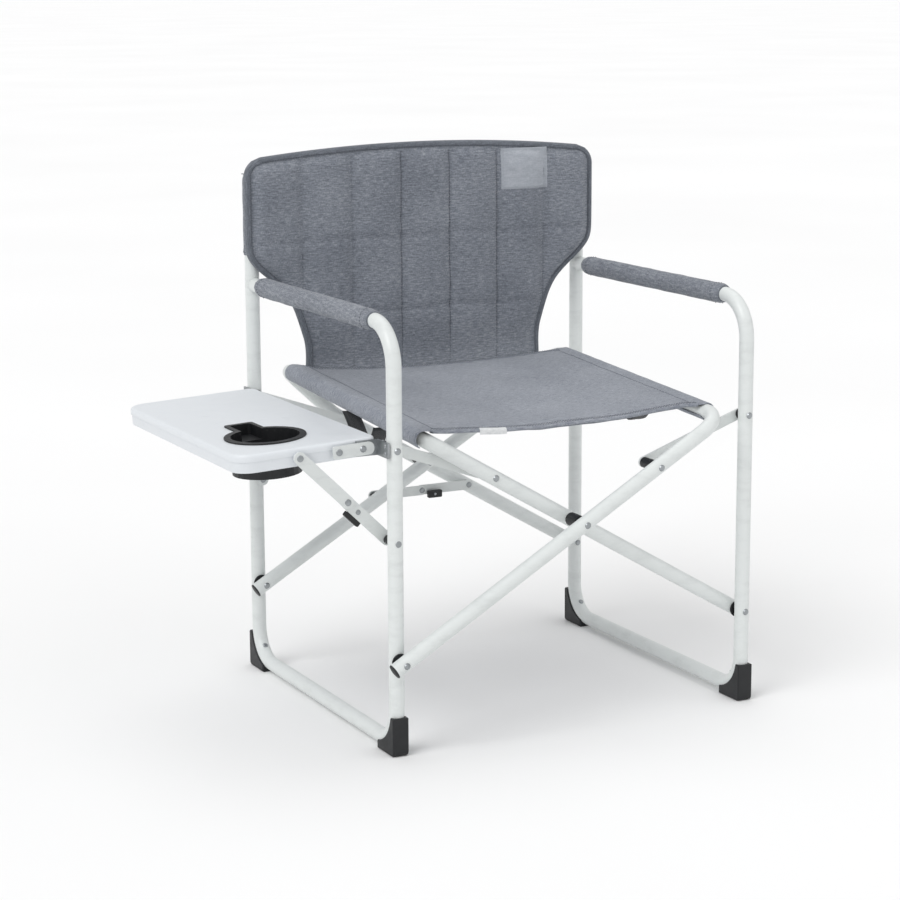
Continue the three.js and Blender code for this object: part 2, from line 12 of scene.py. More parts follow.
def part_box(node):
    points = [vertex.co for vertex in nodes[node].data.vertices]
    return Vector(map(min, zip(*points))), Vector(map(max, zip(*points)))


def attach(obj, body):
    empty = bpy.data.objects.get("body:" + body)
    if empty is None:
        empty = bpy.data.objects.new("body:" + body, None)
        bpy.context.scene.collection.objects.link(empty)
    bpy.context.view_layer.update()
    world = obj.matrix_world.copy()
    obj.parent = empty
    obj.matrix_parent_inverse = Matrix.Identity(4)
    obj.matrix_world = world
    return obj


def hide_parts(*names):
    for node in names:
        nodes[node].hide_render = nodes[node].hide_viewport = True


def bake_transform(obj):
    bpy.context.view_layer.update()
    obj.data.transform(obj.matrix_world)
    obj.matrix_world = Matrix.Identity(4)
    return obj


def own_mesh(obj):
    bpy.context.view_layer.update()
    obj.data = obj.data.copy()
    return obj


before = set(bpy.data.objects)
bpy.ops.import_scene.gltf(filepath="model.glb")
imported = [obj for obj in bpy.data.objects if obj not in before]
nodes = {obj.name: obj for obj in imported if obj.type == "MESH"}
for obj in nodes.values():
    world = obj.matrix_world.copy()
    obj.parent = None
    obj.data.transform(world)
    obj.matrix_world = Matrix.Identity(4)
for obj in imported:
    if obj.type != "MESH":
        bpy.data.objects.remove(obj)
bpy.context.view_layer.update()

# ---------- dimensions, in mm
# The chair's own middle is at x = 0 here. The frame's origin is left of it, as the table counts there.
frame_low, frame_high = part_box("left_side_frame")
POST_X, POST_Y, POST_TOP = 288.0, 254.0, 780.0
SHIFT = (frame_low[0] + frame_high[0]) * 500 + POST_X
TUBE_R = 11.0
ARM_Z, BASE_Z, BASE_BEND, ARM_BEND = 611.0, 15.0, 52.0, 60.0
# Heights of the legs' lower pivots, the links' pivots on the posts, and the crossing
LOW_Z, UP_Z, CROSS_Z = 138.0, 438.0, 307.5
LEG_OFFSET, LEG_TAIL, LEG_LINK_AT, REAR_KINK_AT = 24.5, 16.0, 476.0, 500.0
RAIL_X, RAIL_BEND, RAIL_RISE, KINK_BEND = 230.0, 38.0, 30.0, 60.0
ANGLE = math.atan2(CROSS_Z - LOW_Z, POST_X)
RAIL_Z = LOW_Z + (POST_X + RAIL_X) * math.tan(ANGLE)
HINGE_X, HINGE_Z, DROOP = -325.0, 439.5, math.radians(2.9)
# The stay's two straps lie behind the rear legs, one on the other.
STAY_Z, STAY_FRONT_Y, STAY_MIDDLE_Y, STAY_REAR_Y = 256.0, 250.4, 253.5, 256.9
STAY_X = POST_X - (STAY_Z - LOW_Z) / math.tan(ANGLE)
# Each table brace is two straps too. Distances along it are measured from its foot on the post.
BRACE_FOOT_Z, BRACE_HEAD_X, BRACE_JOINT_AT, BRACE_RIVET_AT = 307.0, -94.5, 85.0, 62.0
BRACE_INNER_Y, BRACE_MIDDLE_Y, BRACE_OUTER_Y = 225.7, 228.9, 231.9
RIVET = (4.8, 1.8)  # radius and height of a common rivet head
SIDES, ENDS = (("left", -1), ("right", 1)), (("front", -1), ("rear", 1))


def at(x, y, z):
    return Vector(((x + SHIFT) / 1000, y / 1000, z / 1000))


def on_table(x, y, z):
    """A point of the table, measured from its hinge, in the chair's millimetres."""
    c, s = math.cos(DROOP), math.sin(DROOP)
    return HINGE_X + x * c - z * s, y, HINGE_Z + x * s + z * c


def leg_y(side, end):
    return end * POST_Y - side * LEG_OFFSET


def on_leg(side, end, along):
    x = side * (along * math.cos(ANGLE) - POST_X)
    return Vector((x, leg_y(side, end), LOW_Z + along * math.sin(ANGLE)))


def rail_z(side, y):
    return RAIL_Z + RAIL_RISE * (y - leg_y(side, -1)) / (2 * POST_Y)


def soft(x, y, z, size, seed=0.0):
    """Smooth noise about 0, whose features are about size mm across."""
    return noise.noise(Vector((x / size + seed, y / size - seed * 1.7, z / size + seed * 0.6)))


# ---------- materials


def srgb(code):
    parts = [int(code[i : i + 2], 16) / 255 for i in (1, 3, 5)]
    return [c / 12.92 if c <= 0.04045 else ((c + 0.055) / 1.055) ** 2.4 for c in parts] + [1.0]


class Nodes:
    """A material's node tree, with short calls for the nodes used here."""

    def __init__(self, name, colour, roughness, metallic=0.0, **constants):
        self.material = bpy.data.materials.new(name)
        self.material.use_nodes = True
        self.tree = self.material.node_tree
        self.shader = self.tree.nodes["Principled BSDF"]
        self.shader.inputs["Base Color"].default_value = srgb(colour)
        self.shader.inputs["Roughness"].default_value = roughness
        self.shader.inputs["Metallic"].default_value = metallic
        for key, value in constants.items():
            self.shader.inputs[key.replace("_", " ")].default_value = value

    def link(self, a, b):
        self.tree.links.new(a, b)

    def coordinates(self, scale, attribute=None):
        if attribute:
            source = self.tree.nodes.new("ShaderNodeAttribute")
            source.attribute_name = attribute
            out = source.outputs["Vector"]
        else:
            out = self.tree.nodes.new("ShaderNodeTexCoord").outputs["Object"]
        mapping = self.tree.nodes.new("ShaderNodeMapping")
        mapping.inputs["Scale"].default_value = scale
        self.link(out, mapping.inputs["Vector"])
        return mapping.outputs["Vector"]

    def noise(self, scale, detail=2.0, attribute=None, roughness=0.5):
        node = self.tree.nodes.new("ShaderNodeTexNoise")
        node.inputs["Scale"].default_value = 1.0
        node.inputs["Detail"].default_value = detail
        node.inputs["Roughness"].default_value = roughness
        self.link(self.coordinates(scale, attribute), node.inputs["Vector"])
        return node.outputs["Fac"]

    def wave(self, scale, axis, attribute=None, distortion=0.4):
        node = self.tree.nodes.new("ShaderNodeTexWave")
        node.bands_direction = axis
        node.inputs["Scale"].default_value = 1.0
        node.inputs["Distortion"].default_value = distortion
        self.link(self.coordinates(scale, attribute), node.inputs["Vector"])
        return node.outputs["Fac"]

    def maths(self, kind, a, b):
        node = self.tree.nodes.new("ShaderNodeMath")
        node.operation = kind
        for socket, value in zip(node.inputs, (a, b)):
            if isinstance(value, (int, float)):
                socket.default_value = value
            else:
                self.link(value, socket)
        return node.outputs[0]

    def ramp(self, factor, stops):
        node = self.tree.nodes.new("ShaderNodeValToRGB")
        elements = node.color_ramp.elements
        while len(elements) < len(stops):
            elements.new(0.5)
        for element, (place, colour) in zip(elements, stops):
            element.position = place
            element.color = srgb(colour)
        self.link(factor, node.inputs["Fac"])
        return node.outputs["Color"]

    def spread(self, factor, low, high, start=0.0, end=1.0):
        node = self.tree.nodes.new("ShaderNodeMapRange")
        node.inputs["From Min"].default_value = start
        node.inputs["From Max"].default_value = end
        node.inputs["To Min"].default_value = low
        node.inputs["To Max"].default_value = high
        self.link(factor, node.inputs["Value"])
        return node.outputs["Result"]

    def bump(self, height, distance, strength=1.0):
        node = self.tree.nodes.new("ShaderNodeBump")
        node.inputs["Distance"].default_value = distance
        node.inputs["Strength"].default_value = strength
        self.link(height, node.inputs["Height"])
        self.link(node.outputs["Normal"], self.shader.inputs["Normal"])

    def colour(self, socket):
        self.link(socket, self.shader.inputs["Base Color"])

    def rough(self, socket):
        self.link(socket, self.shader.inputs["Roughness"])


def heather(name, dark, middle, light, sheen=0.25):
    """A heathered weave: long slubs along U, a fine crossing weave, and a slow change of tone."""
    n = Nodes(name, middle, 0.92, Sheen_Weight=sheen, Sheen_Roughness=0.45)
    n.shader.inputs["Specular IOR Level"].default_value = 0.2
    slub = n.noise((90, 430, 90), 3.0, "weave", 0.6)
    thread = n.noise((260, 1100, 260), 2.0, "weave", 0.6)
    cross = n.noise((900, 210, 90), 1.5, "weave")
    tone = n.noise((9, 11, 9), 2.0, "weave")
    mix = n.maths("ADD", n.maths("MULTIPLY", slub, 0.4), n.maths("MULTIPLY", thread, 0.28))
    mix = n.maths("ADD", mix, n.maths("MULTIPLY", cross, 0.2))
    mix = n.maths("ADD", mix, n.maths("MULTIPLY", tone, 0.12))
    n.colour(n.ramp(mix, [(0.38, dark), (0.5, middle), (0.62, light)]))
    warp, weft = n.wave((420, 0, 0), "X", "weave", 0.8), n.wave((0, 520, 0), "Y", "weave", 0.8)
    weave = n.maths("MULTIPLY", warp, weft)
    height = n.maths("ADD", n.maths("MULTIPLY", weave, 0.45), n.maths("MULTIPLY", thread, 0.5))
    height = n.maths("ADD", height, n.maths("MULTIPLY", slub, 0.6))
    n.rough(n.spread(slub, 0.84, 0.98))
    n.bump(height, 0.0007, 0.75)
    return n.material


def webbing(name):
    n = Nodes(name, "#1b1d20", 0.85, Sheen_Weight=0.3)
    rib = n.wave((0, 480, 0), "Y", "weave", 0.2)
    grain = n.noise((900, 900, 900), 2.0, "weave")
    n.colour(n.ramp(n.maths("MULTIPLY", rib, grain), [(0.0, "#121316"), (0.6, "#2c2f33")]))
    n.bump(n.maths("ADD", rib, grain), 0.0004, 0.6)
    return n.material


def powder_coat(name, colour, chalk):
    """Satin powder coat: a fine orange peel, and faint handling marks in a chalkier tone."""
    n = Nodes(name, colour, 0.36, Coat_Weight=0.12, Coat_Roughness=0.3)
    peel = n.noise((520, 520, 520), 2.0)
    marks = n.noise((26, 26, 70), 5.0, None, 0.65)
    n.colour(n.ramp(marks, [(0.25, chalk), (0.52, colour), (0.8, colour)]))
    n.rough(n.spread(marks, 0.46, 0.3, 0.3, 0.7))
    n.bump(peel, 0.00012, 0.5)
    return n.material


def moulded(name, colour, light, roughness, grain=900):
    """Injection moulded plastic with a fine sparked grain and scuffed patches."""
    n = Nodes(name, colour, roughness)
    spark = n.noise((grain, grain, grain), 1.5)
    scuff = n.noise((34, 34, 34), 6.0, None, 0.7)
    n.colour(n.ramp(scuff, [(0.3, colour), (0.62, colour), (0.85, light)]))
    n.rough(n.spread(scuff, roughness - 0.07, roughness + 0.12, 0.3, 0.7))
    n.bump(spark, 0.00012, 0.6)
    return n.material


def plated(name, colour, roughness=0.3):
    """Zinc plated steel with turned and brushed variation."""
    n = Nodes(name, colour, roughness, 0.92)
    brushed = n.noise((90, 900, 900), 3.0)
    stain = n.noise((60, 60, 60), 4.0)
    n.colour(n.ramp(stain, [(0.3, "#8c9092"), (0.6, colour)]))
    n.rough(n.spread(brushed, roughness - 0.08, roughness + 0.14))
    n.bump(brushed, 0.00008, 0.5)
    return n.material


PAINT = powder_coat("white_powder_coat", "#dde1e0", "#d3d7d6")
STRAP = powder_coat("strap_powder_coat", "#d6dad9", "#c9cdcd")
TABLE = moulded("table_plastic", "#dde1e5", "#d0d4d8", 0.4, 700)
BLACK = moulded("black_plastic", "#121417", "#24272b", 0.46)
ZINC = plated("zinc_steel", "#a4a8ab", 0.34)
CLOTH = heather("heathered_cloth", "#616670", "#81868f", "#a6aab2")
SEAT_CLOTH = heather("heathered_seat_cloth", "#757a84", "#9196a0", "#b2b6be")
BINDING = heather("binding_tape", "#5b6068", "#6d727a", "#848992", 0.2)
# Painted shade: a near-black cloth for the seat's inner faces, standing in for the shade inside the rail
# sleeves.
PAINTED_SHADE_CLOTH = heather("painted_shade_inside", "#202226", "#2a2d31", "#383b40", 0.15)
THREAD = heather("thread", "#4c515a", "#5a5f68", "#6d727b", 0.1)
LABEL = heather("label_satin", "#a0a5ad", "#acb1b9", "#babec5", 0.3)
TAG = heather("white_tag", "#d6d9db", "#e3e5e6", "#eff0f1", 0.2)
WEB = webbing("black_webbing")

# ---------- mesh building


class Shape:
    """Vertices in the chair's millimetres, faces, and where each vertex lies on its cloth."""

    def __init__(self):
        self.points, self.faces, self.slots, self.weave = [], [], [], []

    def add(self, points, faces, slot=0, weave=None):
        base = len(self.points)
        self.points += [Vector(p) for p in points]
        self.weave += weave or [(p[0], p[2], p[1]) for p in points]
        self.faces += [[base + i for i in face] for face in faces]
        self.slots += [slot] * len(faces)

    def grid(self, rows, slot=0, around=False, along=False, caps=False, weave=None):
        """Rows of points joined into quads; around closes each row, along joins last to first."""
        count, width = len(rows), len(rows[0])
        faces = []
        for i in range(count if along else count - 1):
            for j in range(width if around else width - 1):
                a, b = i * width, ((i + 1) % count) * width
                faces.append([a + j, a + (j + 1) % width, b + (j + 1) % width, b + j])
        if caps:
            faces.append(list(range(width))[::-1])
            faces.append([(count - 1) * width + j for j in range(width)])
        flat = [w for row in weave for w in row] if weave else None
        self.add([p for row in rows for p in row], faces, slot, flat)

    def shell(self, rows, other, slot=0, edge_slot=0, weave=None):
        """A closed sheet: two grids of the same size, and the edge between them."""
        self.grid(rows, slot, weave=weave)
        self.grid(other, slot, weave=weave)
        self.grid([rim(rows), rim(other)], edge_slot, around=True)

    def slab(self, rows, offset, slot, weave=None):
        """A closed sheet of even thickness: the rows, and the same rows moved by offset."""
        other = [[p + Vector(offset) for p in row] for row in rows]
        self.shell(rows, other, slot, slot, weave)

    def finish(self, name, materials, body=None, smooth=50, replaces=(), slot=None):
        """Weld the faces into an object, whose edges sharper than smooth degrees stay crisp."""
        mesh = bpy.data.meshes.new(name)
        mesh.from_pydata([at(*p) for p in self.points], [], self.faces)
        weave = mesh.attributes.new("weave", "FLOAT_VECTOR", "POINT")
        weave.data.foreach_set("vector", np.array(self.weave, np.float32).ravel() / 1000)
        mesh.polygons.foreach_set("material_index", self.slots)
        for material in materials:
            mesh.materials.append(material)
        shape = bmesh.new()
        shape.from_mesh(mesh)
        bmesh.ops.remove_doubles(shape, verts=shape.verts, dist=2e-6)
        bmesh.ops.recalc_face_normals(shape, faces=shape.faces)
        for edge in shape.edges:
            sharp = len(edge.link_faces) == 2 and edge.calc_face_angle(0) > math.radians(smooth)
            edge.smooth = not sharp
        for face in shape.faces:
            face.smooth = True
        shape.to_mesh(mesh)
        shape.free()
        obj = bpy.data.objects.new(name, mesh)
        bpy.context.scene.collection.objects.link(obj)
        if body:
            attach(obj, body)
        if replaces:
            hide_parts(*replaces)
        return obj


def rim(rows):
    """The outer points of a grid, in order round it."""
    return rows[0] + [r[-1] for r in rows[1:-1]] + rows[-1][::-1] + [r[0] for r in rows[-2:0:-1]]


def rounded(corners, radii, steps=10):
    """Points along a route whose corners are rounded."""
    corners = [Vector(c) for c in corners]
    points = [corners[0]]
    for i in range(1, len(corners) - 1):
        before = (corners[i] - corners[i - 1]).normalized()
        after = (corners[i + 1] - corners[i]).normalized()
        turn = before.angle(after)
        inward = (after - before * after.dot(before)).normalized()
        radius = radii[i - 1]
        start = corners[i] - before * radius * math.tan(turn / 2)
        for k in range(steps + 1):
            a = turn * k / steps
            points.append(start + before * radius * math.sin(a) + inward * radius * (1 - math.cos(a)))
    return points + [corners[-1]]


def sections(points, radius, sides, start=None):
    """Rings of points round a route, turned as little as possible from one to the next."""
    rows, side = [], None
    for i, point in enumerate(points):
        ahead = (points[min(i + 1, len(points) - 1)] - points[max(i - 1, 0)]).normalized()
        if side is None:
            side = start or ahead.orthogonal()
        side = (side - ahead * side.dot(ahead)).normalized()
        other = ahead.cross(side)
        turns = (2 * math.pi * k / sides for k in range(sides))
        rows.append([point + (side * math.cos(t) + other * math.sin(t)) * radius for t in turns])
    return rows


def dome(shape, x, y, z, axis, r=5.0, height=2.0, slot=0, sides=18):
    """A low rivet head whose flat side is at the point and whose crown is along axis."""
    axis = Vector(axis).normalized()
    side = axis.orthogonal().normalized()
    other = axis.cross(side)
    profile = [(1.0, 0.0), (1.0, 0.22), (0.92, 0.5), (0.72, 0.8), (0.42, 0.96), (0.16, 1.0)]
    rows = [
        [
            Vector((x, y, z)) + (side * math.cos(t) + other * math.sin(t)) * r * pr + axis * height * ph
            for t in (2 * math.pi * k / sides for k in range(sides))
        ]
        for pr, ph in profile
    ]
    shape.grid(rows, slot, around=True, caps=True)


def barrel(shape, a, b, r, slot=0, sides=18):
    """A short round spacer or shank between two points, with softened ends."""
    a, b = Vector(a), Vector(b)
    soft_end = (b - a).normalized() * min(0.6, (b - a).length / 4)
    points = [a, a + soft_end, b - soft_end, b]
    rows = sections(points, 1.0, sides)
    for row, point, scale in zip(rows, points, (r - 0.5, r, r, r - 0.5)):
        row[:] = [point + (p - point) * scale for p in row]
    shape.grid(rows, slot, around=True, caps=True)


def stitches(shape, points, normals, slot, length=3.0, gap=1.3, r=0.42):
    """A row of thread stitches along a line on a surface; normals is one direction or one for each point."""
    points = [Vector(p) for p in points]
    if isinstance(normals, tuple):
        normals = [normals] * len(points)
    place, travelled = 0.0, 0.0
    for i in range(len(points) - 1):
        step = (points[i + 1] - points[i]).length
        while place <= travelled + step and step > 0:
            start = points[i].lerp(points[i + 1], (place - travelled) / step)
            ahead = (points[i + 1] - points[i]).normalized()
            up = Vector(normals[i]).normalized()
            across = ahead.cross(up).normalized()
            rows = []
            for t, lift, wide in ((0, -0.3, 0.5), (0.25, 0.35, 1), (0.75, 0.35, 1), (1, -0.3, 0.5)):
                centre = start + ahead * length * t + up * lift
                aside, crown = across * r * wide, up * r * wide
                rows.append([centre + aside, centre + crown, centre - aside, centre - up * r])
            shape.grid(rows, slot, around=True, caps=True)
            place += length + gap
        travelled += step


def inflated(shape, pressure, cap, voxel=6.0, frames=20):
    mesh = bpy.data.meshes.new("blank")
    mesh.from_pydata([at(*p) for p in shape.points], [], shape.faces)
    blank = bpy.data.objects.new("blank", mesh)
    bpy.context.scene.collection.objects.link(blank)
    bpy.context.view_layer.objects.active = blank
    blank.data.remesh_voxel_size = voxel / 1000
    with bpy.context.temp_override(active_object=blank, object=blank):
        bpy.ops.object.voxel_remesh()
    rest = np.empty(len(blank.data.vertices) * 3, np.float32)
    blank.data.vertices.foreach_get("co", rest)
    rest = rest.reshape(-1, 3)
    cloth = blank.modifiers.new("cloth", "CLOTH")
    cloth.settings.use_pressure = True
    cloth.settings.uniform_pressure_force = pressure
    cloth.settings.effector_weights.gravity = 0
    cloth.settings.quality = 4
    cloth.settings.shrink_min = -0.03
    cloth.point_cache.frame_start, cloth.point_cache.frame_end = 1, frames
    for number in range(1, frames + 1):
        bpy.context.scene.frame_set(number)
    evaluated = blank.evaluated_get(bpy.context.evaluated_depsgraph_get())
    moved = np.empty_like(rest).ravel()
    evaluated.data.vertices.foreach_get("co", moved)
    moved = moved.reshape(-1, 3)
    change = moved - rest
    far = np.linalg.norm(change, axis=1, keepdims=True)
    change *= np.minimum(1.0, (cap / 1000) / np.maximum(far, 1e-9))
    points = [Vector(p) for p in (rest + change)]
    tree = BVHTree.FromPolygons(points, [list(p.vertices) for p in blank.data.polygons])
    bpy.data.objects.remove(blank)
    bpy.context.scene.frame_set(1)
    return tree


def solidify(obj, thickness, offset, inner=0):
    """Give a sheet its thickness in mm, with another material slot for the inner face if asked."""
    modifier = obj.modifiers.new("thickness", "SOLIDIFY")
    modifier.material_offset = inner
    modifier.thickness = thickness / 1000
    modifier.offset = offset
    mesh = bpy.data.meshes.new_from_object(obj.evaluated_get(bpy.context.evaluated_depsgraph_get()))
    obj.modifiers.clear()
    old, obj.data = obj.data, mesh
    bpy.data.meshes.remove(old)


# ---------- frame tubes

PAINTED = [PAINT, BLACK, ZINC]
AS_BLACK, AS_ZINC = 1, 2


def plug(shape, end, direction, r, slot):
    """A black end plug: a thin flange with a low crown."""
    direction = Vector(direction).normalized()
    barrel(shape, Vector(end) - direction * 1.0, Vector(end) + direction * 1.6, r, slot, 28)
    dome(shape, *(Vector(end) + direction * 1.5), direction, r - 1.5, 1.2, slot, 28)


def coped_end(tube, x, sides=36):
    """The arm's rear end, shaped to the post and held by a rivet from behind."""
    cope = []
    for depth in (-1.0, 2.0, 5.0, 7.5):
        ring = []
        for k in range(sides):
            a = 2 * math.pi * k / sides
            cx, cz = TUBE_R * math.cos(a), TUBE_R * math.sin(a)
            wrap = TUBE_R - math.sqrt(TUBE_R**2 - (cx * 0.96) ** 2)
            ring.append((x + cx, POST_Y - TUBE_R + min(depth, wrap + 0.2), ARM_Z + cz))
        cope.append(ring)
    tube.grid(cope, 0, around=True, caps=True)
    dome(tube, x, POST_Y + TUBE_R - 0.3, ARM_Z, (0, 1, 0), 5.2, 2.2, AS_ZINC)


def table_mounts(tube, x):
    """On each left post, the brace's rivet with its spacer, and two bolts of the table's bracket."""
    for end in (-1, 1):
        post_face = (x, end * (POST_Y - TUBE_R + 0.5), BRACE_FOOT_Z)
        dome(tube, x, end * (POST_Y + TUBE_R - 0.3), BRACE_FOOT_Z, (0, end, 0), 4.6, 1.8, AS_ZINC)
        barrel(tube, post_face, (x, end * BRACE_MIDDLE_Y, BRACE_FOOT_Z), 6.5, AS_BLACK)
        dome(tube, x, end * BRACE_INNER_Y, BRACE_FOOT_Z, (0, -end, 0), 4.6, 1.6, AS_ZINC)
        for dz in (-5.5, 5.5):
            dome(tube, x - TUBE_R - 3.2, end * POST_Y, HINGE_Z + dz, (-1, 0, 0), 3.4, 1.7, AS_ZINC)


def side_tube(name, side):
    """Rear post, base rail, front post and arm in one bent tube, with its rivets and washers."""
    x = side * POST_X
    corners = [(x, POST_Y, POST_TOP), (x, POST_Y, BASE_Z), (x, -POST_Y, BASE_Z), (x, -POST_Y, ARM_Z)]
    corners.append((x, POST_Y - TUBE_R, ARM_Z))
    route = rounded(corners, [BASE_BEND, BASE_BEND, ARM_BEND], 14)
    tube = Shape()
    tube.grid(sections(route, TUBE_R, 36, Vector((1, 0, 0))), 0, around=True, caps=True)
    coped_end(tube, x)
    inner = POST_Y - TUBE_R
    for end in (-1, 1):
        # A rivet on the inside of each base bend holds the boot.
        bend_y, bend_z, k = end * (POST_Y - BASE_BEND), BASE_Z + BASE_BEND, math.sqrt(0.5)
        reach = BASE_BEND - TUBE_R + 0.3
        dome(tube, x, bend_y + end * reach * k, bend_z - reach * k, (0, -end, 1), 4.2, 1.8, AS_ZINC)
        # A thin black washer is under the rivet head of each upper pivot.
        barrel(tube, (x, end * inner + 0.2 * end, UP_Z), (x, end * (inner - 2.2), UP_Z), 9, AS_BLACK)
    if side < 0:
        table_mounts(tube, x)
    tube.finish(f"{name}_side_tube", PAINTED, f"{name}_side", 40, [f"{name}_side_frame"], "frame_paint")


def rail_tube(name, side):
    """A seat rail and its two legs in one bent tube, with end plugs and the stay's rivet."""
    tails = [on_leg(side, end, -LEG_TAIL) for end in (-1, 1)]
    front = (side * RAIL_X, leg_y(side, -1), RAIL_Z)
    rear = (side * RAIL_X, leg_y(side, 1), RAIL_Z + RAIL_RISE)
    corners = [tails[0], front, rear, on_leg(side, 1, REAR_KINK_AT), tails[1]]
    route = rounded(corners, [RAIL_BEND, RAIL_BEND, KINK_BEND], 12)
    tube = Shape()
    tube.grid(sections(route, TUBE_R, 36), 0, around=True, caps=True)
    for end, point in zip((-1, 1), tails):
        plug(tube, point, point - on_leg(side, end, 0), TUBE_R - 0.2, AS_BLACK)
    # The stay's rivet stands on a spacer on the rear leg.
    rear_leg = leg_y(side, 1)
    if side > 0:
        spacer, head_y = (rear_leg + TUBE_R - 0.5, STAY_FRONT_Y), STAY_MIDDLE_Y
    else:
        spacer, head_y = (STAY_REAR_Y - 0.5, rear_leg - TUBE_R + 0.5), STAY_MIDDLE_Y + 0.3
    start, stop = ((-side * STAY_X, y, STAY_Z) for y in spacer)
    barrel(tube, start, stop, 6, AS_BLACK)
    dome(tube, -side * STAY_X, head_y, STAY_Z, (0, side, 0), *RIVET, AS_ZINC)
    tube.finish(f"{name}_rail_tube", PAINTED, f"{name}_seat_frame", 40, [f"{name}_seat_tube"], "frame_paint")


for name, side in SIDES:
    side_tube(name, side)
for name, side in SIDES:
    rail_tube(name, side)

# ---------- small metal parts


def link_head(name, side, word, end):
    """The rivet head on the inner face of an upper link."""
    pivot, leg = on_leg(side, end, LEG_LINK_AT), leg_y(side, end)
    inside = abs(leg) < POST_Y
    face_y = (leg if inside else end * POST_Y) - end * (TUBE_R + (0.3 if inside else 2.5) + 4)
    head = Shape()
    dome(head, pivot.x, face_y, pivot.z, (0, -end, 0), 4.8, 1.7)
    head.finish(f"{name}_{word}_link_head", [ZINC], f"{name}_{word}_link", slot="zinc")


def stay_rivet():
    """The stay's middle rivet, headed on both faces, and the small rivet of its release tab."""
    pin = Shape()
    dome(pin, 0, STAY_FRONT_Y + 0.2, STAY_Z, (0, -1, 0), *RIVET)
    dome(pin, 0, STAY_REAR_Y - 0.2, STAY_Z, (0, 1, 0), *RIVET)
    dome(pin, 21.5, 245.5, 249, (0, -1, 0), 2.2, 0.9)
    pin.finish("stay_middle_rivet", [ZINC], "left_stay", slot="zinc")


def brace_rivets(word, end):
    """A table brace's rivets: two on the brace itself, and two through the table's side bar."""
    foot = Vector((-POST_X, 0, BRACE_FOOT_Z))
    head_x, _, head_z = on_table(BRACE_HEAD_X, 0, 0)
    along = Vector((head_x - foot.x, 0, head_z - foot.z)).normalized()
    joint, second = foot + along * BRACE_JOINT_AT, foot + along * BRACE_RIVET_AT
    pins = Shape()
    dome(pins, joint.x, end * BRACE_OUTER_Y, joint.z, (0, end, 0), *RIVET)
    dome(pins, joint.x, end * BRACE_INNER_Y, joint.z, (0, -end, 0), 4.8, 1.4)
    dome(pins, second.x, end * (BRACE_MIDDLE_Y - 0.4), second.z, (0, end, 0), 3.8, 1.5)
    pins.finish(f"{word}_brace_rivets", [ZINC], f"{word}_brace_lower", slot="zinc")
    pins = Shape()
    for local_x, washer in ((BRACE_HEAD_X, 8.0), (-36.0, 6.5)):
        x, _, z = on_table(local_x, 0, 0.0)
        barrel(pins, (x, end * (BRACE_INNER_Y - 1.1), z), (x, end * (BRACE_MIDDLE_Y + 0.3), z), washer, 1)
        dome(pins, x, end * BRACE_OUTER_Y, z, (0, end, 0), *RIVET)
    pins.finish(f"table_{word}_rivets", [ZINC, TABLE], "table", slot="zinc")


for name, side in SIDES:
    for word, end in ENDS:
        link_head(name, side, word, end)
stay_rivet()
for word, end in ENDS:
    brace_rivets(word, end)

# ---------- table top

TABLE_FAR_X, TABLE_NEAR_X, TABLE_HALF, TABLE_CORNERS = -185.2, 24.5, 225, (30, 14, 14, 30)
TOP_Z, UNDER_Z = 13.9, 10.9
WELL_X, WELL_Y, WELL_SLOT_X = -101.0, -125.0, -103.0
WELL = (51.4, 18.4, 42.4)  # radius, half the slot's width, and the slot's reach
# How far in from the outline and below the top each line of the edge runs: a grooved skirt and its inner wall
EDGE = [(5.2, 0.0), (3.2, -0.25), (1.6, -1.0), (0.5, -2.3), (0.0, -4.2), (0.0, -9.6), (0.35, -10.6)]
EDGE += [(1.3, -11.1), (1.6, -12.0), (1.6, -24.4), (1.9, -25.5), (2.7, -26.0), (3.6, -25.7)]
EDGE += [(4.1, -24.6), (4.1, UNDER_Z - TOP_Z)]


def rounded_rect(x0, y0, x1, y1, radii, inset=0.0, steps=8):
    """Corners in turn: low low, high low, high high, low high."""
    points = []
    corners = ((x0, y0, 180), (x1, y0, 270), (x1, y1, 0), (x0, y1, 90))
    for (cx, cy, begin), r in zip(corners, radii):
        mx, my = cx + (r if cx == x0 else -r), cy + (r if cy == y0 else -r)
        r = max(0.5, r - inset)
        for k in range(steps + 1):
            a = math.radians(begin + 90 * k / steps)
            points.append((mx + r * math.cos(a), my + r * math.sin(a)))
    return points


def table_ring(inset, z):
    edge = rounded_rect(TABLE_FAR_X, -TABLE_HALF, TABLE_NEAR_X, TABLE_HALF, TABLE_CORNERS, inset)
    return [Vector(on_table(x, y, z)) for x, y in edge]


def cup_outline(r, half, reach, z, count=72):
    """The cup well's outline, a circle with a slot towards the rear, as evenly placed points."""
    start = math.atan2(math.sqrt(max(r * r - (half - 2) ** 2, 1)), half - 2)
    begin = math.atan2(math.sqrt(max(r * r - (half + 2) ** 2, 1)), -half - 2)
    circle = [begin + (2 * math.pi - begin + start) * k / (count - 1) for k in range(count)]
    points = [(WELL_X + r * math.cos(a), WELL_Y + r * math.sin(a)) for a in circle]
    far = WELL_Y + 51 + reach
    for k in range(7):
        a = math.pi / 2 * k / 6
        points.append((WELL_SLOT_X + half - 5 + 5 * math.cos(a), far - 5 + 5 * math.sin(a)))
    for k in range(7):
        a = math.pi / 2 * (1 + k / 6)
        points.append((WELL_SLOT_X - half + 5 + 5 * math.cos(a), far - 5 + 5 * math.sin(a)))
    return [Vector(on_table(x, y, z)) for x, y in points]


def filled(outer, inner):
    """Triangles between an outer and an inner closed outline."""
    shape = bmesh.new()
    edges = []
    for outline in (outer, inner):
        verts = [shape.verts.new(p) for p in outline]
        edges += [shape.edges.new((verts[i], verts[(i + 1) % len(verts)])) for i in range(len(verts))]
    bmesh.ops.triangle_fill(shape, use_beauty=True, edges=edges)
    shape.verts.index_update()
    points = [v.co.copy() for v in shape.verts]
    faces = [[v.index for v in f.verts] for f in shape.faces]
    shape.free()
    return points, faces


